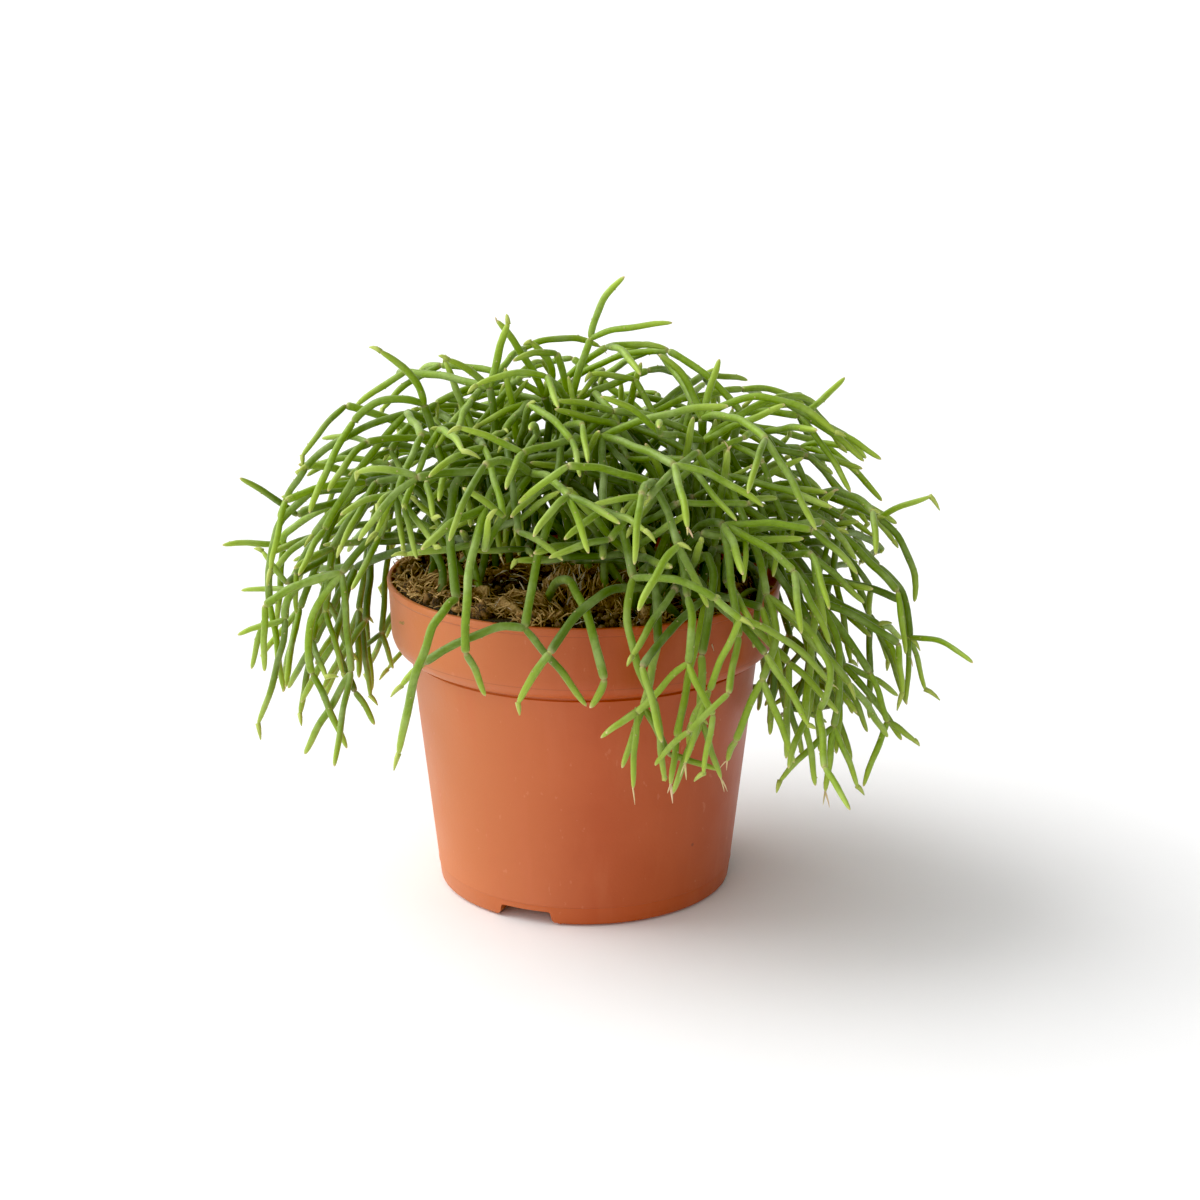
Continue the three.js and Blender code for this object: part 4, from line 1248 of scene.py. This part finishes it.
def grow_thicket_shoot(name, number):
    """A shoot that stands in the middle of the plant, between the arching ones, and hides the far rim."""
    spray = Spray(name)

    def propose(_):
        turn = number * GOLDEN_ANGLE + draw(-0.3, 0.3)
        out = THICKET_REACH * math.sqrt(draw(0.05, 1))
        highest = THICKET_HEIGHT[1] - THICKET_FALL * (out / THICKET_REACH) ** 2
        joint = from_axis(out, turn, draw(THICKET_HEIGHT[0], highest))
        joint[1] += THICKET_BACK
        start = root_in(nearest_plug(0.7 * joint[0], 0.7 * joint[1]))
        lean = np.array([draw(-8, 8), draw(-8, 8), draw(0, 12)])
        return [start, 0.5 * (start + joint) + lean, joint]

    if grow(spray, None, propose, within_plant, CLOSE):
        sprays.append(spray)


def may_reach_out(run):
    """True for a free tip that is high in the crown, or out at one of its sides."""
    x, _, z = run.bends[2]
    free_twig = not run.forked and run.order >= 1
    return free_twig and z > LOWEST_REACH and (z > REACHING_HEIGHT or abs(x) > REACHING_SIDE)


for place in range(FILL_PLACES):
    spiral_place = PLACES * (place + 0.5) / FILL_PLACES
    grow_first_shoot(f"filling_shoot_{place + 1:02d}", spiral_place, CLOSE, FILL_REACHES)
for number in range(THICKET_SHOOTS):
    grow_thicket_shoot(f"thicket_shoot_{number + 1:02d}", number)
filling = [spray.runs[0] for spray in sprays[len(packed_sprays):]]
high = [run for spray in sprays for run in spray.runs if may_reach_out(run)]
for run in high[::3] + filling[::2]:
    reach_out(run)
filling_twigs = fork_all(filling, 0, CLOSE, FINE_FORKS, within_finish)
late_twigs = fork_all(filling_twigs, 0, CLOSE, FINE_FORKS, within_finish)
bare_tips = [
    run for spray in packed_sprays for run in spray.runs
    if not run.forked and run.order >= 1 and run.bends[2][1] > -RIM_RADIUS]
late_twigs += fork_all(bare_tips, 0, CLOSE, FINE_FORKS, within_finish)
fork_all(late_twigs, 1, CLOSE, FINE_FORKS, within_finish)

# The cluster that hangs before the pot at the front right, and the few loose ends beside it.
CLUSTER_FORKS = [
    None,
    {"count": (1, 2.4), "length": (15, 28), "spread": (0.25, 0.9), "droop": (0.2, 1.2)},
    {"count": (1, 2.4), "length": (13, 25), "spread": (0.25, 0.9), "droop": (0.1, 1.2)},
    {"count": (0.6, 2.2), "length": (11, 22), "spread": (0.25, 0.9), "droop": (0.1, 1.0)},
]
CLUSTER_ROUNDS = 2
CLUSTER_SPACE = ((4, -84, 56), (48, -44, math.inf))  # lowest and highest corner of where it may grow
CLUSTER_STARTS = ((6, -math.inf, -math.inf), (46, -46, 96))  # the same for the tips that it grows from


def inside(place, corners):
    """True where a place lies between two corners."""
    return all(low < c < high for low, c, high in zip(corners[0], place, corners[1]))


def within_cluster(path):
    """True for a path that keeps to the space of the cluster."""
    return ((path >= CLUSTER_SPACE[0]) & (path <= CLUSTER_SPACE[1])).all()


for _ in range(CLUSTER_ROUNDS):
    cluster_tips = [
        run for spray in packed_sprays for run in spray.runs
        if inside(run.bends[2], CLUSTER_STARTS) and not run.forked]
    fork_all(cluster_tips, 0, CLOSE, CLUSTER_FORKS, within_cluster)

# Segments are a little narrower at the joint they grow from, swell before the next one, and round off to a
# blunt point where nothing follows. Offsets are distances from the two ends of a run.
STEM_LOOKS = [1.24, 1.13, 1.02, 0.92]  # the radius of a segment that shows, by its order of branching
BASE_OFFSETS = [0, 0.8, 1.9, 3.8]
BASE_SHAPE = [0.6, 0.86, 0.96, 1]
TIP_OFFSETS = [8, 4.6, 2.4, 1, 0.3, 0]
FORKED_SHAPE = [1, 1.01, 1.04, 1.03, 0.85, 0.4]
FREE_SHAPE = [0.97, 0.9, 0.78, 0.58, 0.34, 0.1]
SHORTEST = 16  # a run shorter than this has its offsets shrunk in proportion
SHORT_RINGS = 18
LONG_RINGS = 30
LONG_RUN = 38
WAVER = 0.25
WAVER_PACES = (0.31, 0.27, 0.36)
FELT_FADE = 0.35
FRESH_LENGTH = 14
THICKNESS_SPREAD = (0.92, 1.06)
AREOLE_FIRST = (4, 8)
AREOLE_SPACING = (6, 14)
AREOLE_FREE_TIP = 3
AREOLE_RISES = (-0.3, 0.02, 0.12, 0.2)  # heights over the skin of the rings of an areole's felt
AREOLE_RADII = np.array([0.3, 0.26, 0.18, 0.06])
SPIKE_SHAPE = np.array([1, 0.9, 0.65, 0.2])
BRISTLED_SHARE = 0.04
FRONT_BRISTLED_SHARE = 0.45
BRISTLES = (1, 3.6)
BRISTLE_LENGTH = (1.2, 4.2)
BRISTLE_RADIUS = (0.2, 0.45)
BRISTLE_PALENESS = (0.5, 0.95)
STUB_SHARE = 0.22
STUB_LENGTH = (2, 5)
STUB_RADIUS = 0.85
LIT_TINT = (0.35, 1.2)  # a random tint at the face of the crown; from there the stems are painted darker to deep inside, as shade
LIT_FROM = 0.55
LIT_FADE = 0.4
FRONT_TINT = (0.4, 1)
CLUSTER_FRESHNESS = 0.35
TOP_PAINTED_LIGHT = 0.4  # how much lighter the stems at the top of the crown are painted, as light from above
TOP_FROM = 128
TOP_FADE = 30
FRONT_TIPS = {"before": -52, "below": 88, "cluster_from": 8}  # these hang in front of the pot

short_stem = straight_tube(8, SHORT_RINGS)
long_stem = straight_tube(8, LONG_RINGS)
bump_form = straight_tube(5, len(SPIKE_SHAPE))
looks = Chance(31)


def stem_rings(run):
    """The centres, radii, paleness and freshness of a segment's rings, and their places along it."""
    length = length_of(run.bends)
    count = SHORT_RINGS if length < LONG_RUN else LONG_RINGS
    shrink = min(1, length / SHORTEST)
    base = np.array(BASE_OFFSETS) * shrink
    tip = length - np.array(TIP_OFFSETS) * shrink
    middle = np.linspace(base[-1], tip[0], count - len(base) - len(tip) + 2)[1:-1]
    along = np.concatenate([base, middle, tip])
    shape = np.concatenate([BASE_SHAPE, np.ones(len(middle)), FORKED_SHAPE if run.forked else FREE_SHAPE])
    centres = curve_points(run.bends, along / length)
    if not run.parent:
        shape[:len(BASE_SHAPE)] = 1
        centres[0] = peg_end(run.bends)
        centres[1] = 0.5 * (centres[0] + run.bends[0])
        centres[2] = run.bends[0]
    settled = np.sin(np.pi * np.clip(along / length, 0, 1))
    turns = [looks.draw(0, 6.3) for _ in range(3)]
    sway = np.column_stack([np.sin(turn + along * pace) for turn, pace in zip(turns, WAVER_PACES)])
    centres = centres + WAVER * settled[:, None] * sway
    radii = STEM_LOOKS[run.order] * looks.draw(*THICKNESS_SPREAD) * shape
    radii = radii * (1 + 0.03 * np.sin(turns[0] + 0.9 * along))
    to_tip = length - along
    young = 0 if run.forked else 1
    pale_joint = np.exp(-along / FELT_FADE) if run.parent else np.zeros(count)
    pale = np.maximum(0.35 * pale_joint, (0.4 + 0.5 * young) * np.exp(-to_tip / FELT_FADE))
    fresh = np.clip(1 - to_tip / FRESH_LENGTH, 0, 1) * young
    return centres, radii, pale, fresh, along


def add_spike(heap, start, way, length, radius, tint, pale):
    """A short pointed growth: a bristle, a dried thread or a stub of new stem."""
    drop = np.array([0, 0, -0.25 * length])
    tip = start + length * way + drop
    bend = start + 0.7 * length * way + 0.4 * drop
    centres = np.array([start - 0.3 * way, start + 0.35 * length * way, bend, tip])
    heap.add(bump_form, bent(bump_form, centres, radius * SPIKE_SHAPE), tint=tint, fresh=1, pale=pale)


def add_areoles(heap, centres, radii, along, tint):
    """Small felted spots that wind round a segment."""
    turn = looks.draw(0, 6.3)
    spot = looks.draw(*AREOLE_FIRST)
    while spot < along[-1] - AREOLE_FREE_TIP:
        ring = np.searchsorted(along, spot)
        heading = unit(centres[ring] - centres[ring - 1])
        side = unit(cross(heading, SKEW))
        side = side * math.cos(turn) + cross(heading, side) * math.sin(turn)
        felt = np.array([centres[ring] + side * (radii[ring] + rise) for rise in AREOLE_RISES])
        heap.add(bump_form, bent(bump_form, felt, AREOLE_RADII), tint=tint, pale=0.4, fresh=0)
        turn += GOLDEN_ANGLE
        spot += looks.draw(*AREOLE_SPACING)


def dress_run(heap, run):
    """One segment with its areoles, and at some tips bristles or stubs of new growth."""
    centres, radii, pale, fresh, along = stem_rings(run)
    tip = run.bends[2]
    form = short_stem if len(centres) == SHORT_RINGS else long_stem
    before_pot = tip[1] < FRONT_TIPS["before"] and tip[2] < FRONT_TIPS["below"]
    in_cluster = before_pot and tip[0] > FRONT_TIPS["cluster_from"]
    # Painted light and shade: the tint is darker deep inside the crown, lighter at its face and lighter
    # again at its top.
    outer = np.clip((depth_in_dome(run.bends[1][None])[0] - LIT_FROM) / LIT_FADE, 0, 1)
    tint = outer * looks.draw(*LIT_TINT) + TOP_PAINTED_LIGHT * np.clip((tip[2] - TOP_FROM) / TOP_FADE, 0, 1)
    if before_pot:
        tint = looks.draw(*FRONT_TINT)
    if in_cluster:
        fresh = np.maximum(fresh, CLUSTER_FRESHNESS)
    ring = np.rint(form[0][:, 2]).astype(int)
    heap.add(form, bent(form, centres, radii), tint=tint, pale=pale[ring], fresh=fresh[ring])
    add_areoles(heap, centres, radii, along, tint)
    heading = unit(tip - run.bends[1])
    if not run.forked and looks.draw() < (FRONT_BRISTLED_SHARE if in_cluster else BRISTLED_SHARE):
        for _ in range(math.floor(looks.draw(*BRISTLES))):
            way = unit(heading + 0.5 * unit(looks.swing()))
            length, radius = looks.draw(*BRISTLE_LENGTH), looks.draw(*BRISTLE_RADIUS)
            add_spike(heap, tip, way, length, radius, 1, looks.draw(*BRISTLE_PALENESS))
    elif looks.draw() < STUB_SHARE:
        way = unit(heading + 1.1 * unit(looks.swing()))
        add_spike(heap, tip - 0.5 * heading, way, looks.draw(*STUB_LENGTH), STUB_RADIUS, 0.9, 0.15)


STEM_DEEP = linear(50, 79, 3)
STEM_MIDDLE = linear(134, 167, 29)
STEM_FRESH = linear(180, 205, 70)
STEM_BLOOM = linear(176, 196, 128)
AREOLE_FELT = linear(232, 196, 160)
SKIN_CLOUDS = (9, 1.2)
SKIN_ROUGHNESS = (0.42, 0.58)
SKIN_RELIEF = 0.06
SKIN_GLOSS = {
    "Specular IOR Level": 0.4, "Sheen Weight": 0.14, "Sheen Roughness": 0.5, "Sheen Tint": (1, 1, 0.9, 1)}

skin, tree, place = start_material("cactus_skin")
patches, grain = mottled(tree, place, *SKIN_CLOUDS)
# The tint carries painted light and shade, from the crown's face and top to deep inside, and a random
# spread.
colour = mixed(tree, trait_of(tree, "tint"), STEM_DEEP, STEM_MIDDLE)
colour = mixed(tree, ramp(tree, patches, 0.45, 1, 0, 0.4), colour, STEM_BLOOM)
colour = mixed(tree, ramp(tree, grain, 0.3, 1, 0, 0.22), colour, STEM_DEEP)
colour = mixed(tree, ramp(tree, trait_of(tree, "fresh"), 0, 1, 0, 0.65), colour, STEM_FRESH)
colour = mixed(tree, trait_of(tree, "pale"), colour, AREOLE_FELT)
roughness = ramp(tree, grain, 0, 1, *SKIN_ROUGHNESS)
finish_surface(tree, colour, roughness, grain, SKIN_RELIEF, **SKIN_GLOSS)

for spray in sprays:
    heap = Heap("tint", "pale", "fresh")
    for run in spray.runs:
        dress_run(heap, run)
    packed = spray in packed_sprays
    stems = heap.make(spray.name + "_stems" if packed else spray.name, skin)
    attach(stems, "root")
    if packed:
        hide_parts(spray.name)

# Table and light. A wide white table with no edge in view, a broad soft light from the upper left and a
# little behind that throws a soft shadow to the right, and a white surround that gives less light from
# overhead and from the right.
TABLE_SIZE = 240  # in metres
TABLE_WHITES = (linear(252, 252, 252), linear(254, 254, 254))
TABLE_CLOUDS = (60, 2)
TABLE_RELIEF = 0.005
SUN_FROM = (-0.66, 0.2, 0.7)
SUN_STRENGTH = 1.95
SUN_SPREAD = math.radians(48)
SURROUND = 1.66
RIGHT_SHARE = 0.23  # how much of its light the surround keeps at the right
RIGHT_SPAN = (-0.6, 0.55)
OVERHEAD_SHARE = 0.62  # and straight overhead
OVERHEAD_SPAN = (0.1, 0.9)
BLACK_POINT = (0.005, 0.005, 0.009)

bpy.ops.object.select_all(action="DESELECT")
bpy.ops.mesh.primitive_plane_add(size=TABLE_SIZE)
table = bpy.context.object
table.name = "white_table"
paint, tree, place = start_material("matt_white")
patches, grain = mottled(tree, place, *TABLE_CLOUDS)
finish_surface(tree, mixed(tree, patches, *TABLE_WHITES), 1.0, grain, TABLE_RELIEF)
table.data.materials.append(paint)

shining = (-Vector(SUN_FROM)).to_track_quat("-Z", "Y")
bpy.ops.object.light_add(type="SUN", rotation=shining.to_euler())
sun = bpy.context.object.data
sun.energy = SUN_STRENGTH
sun.angle = SUN_SPREAD

world = bpy.data.worlds.new("surround")
world.use_nodes = True
tree = world.node_tree
way = add_node(tree, "ShaderNodeTexCoord").outputs["Generated"]
sideways = ramp(tree, part_of(tree, way, "X"), *RIGHT_SPAN, SURROUND, SURROUND * RIGHT_SHARE)
upwards = ramp(tree, part_of(tree, way, "Z"), *OVERHEAD_SPAN, 1, OVERHEAD_SHARE)
strength = worked_out(tree, "MULTIPLY", sideways, upwards)
seen = add_node(tree, "ShaderNodeLightPath").outputs["Is Camera Ray"]
strength = ramp(tree, seen, 0, 1, strength, SURROUND)
tree.links.new(strength, tree.nodes["Background"].inputs["Strength"])
tree.nodes["Background"].inputs["Color"].default_value = (1, 1, 1, 1)
bpy.context.scene.world = world
colours = bpy.context.scene.view_settings
colours.view_transform = "Standard"
colours.use_curve_mapping = True
colours.curve_mapping.black_level = BLACK_POINT
colours.curve_mapping.update()
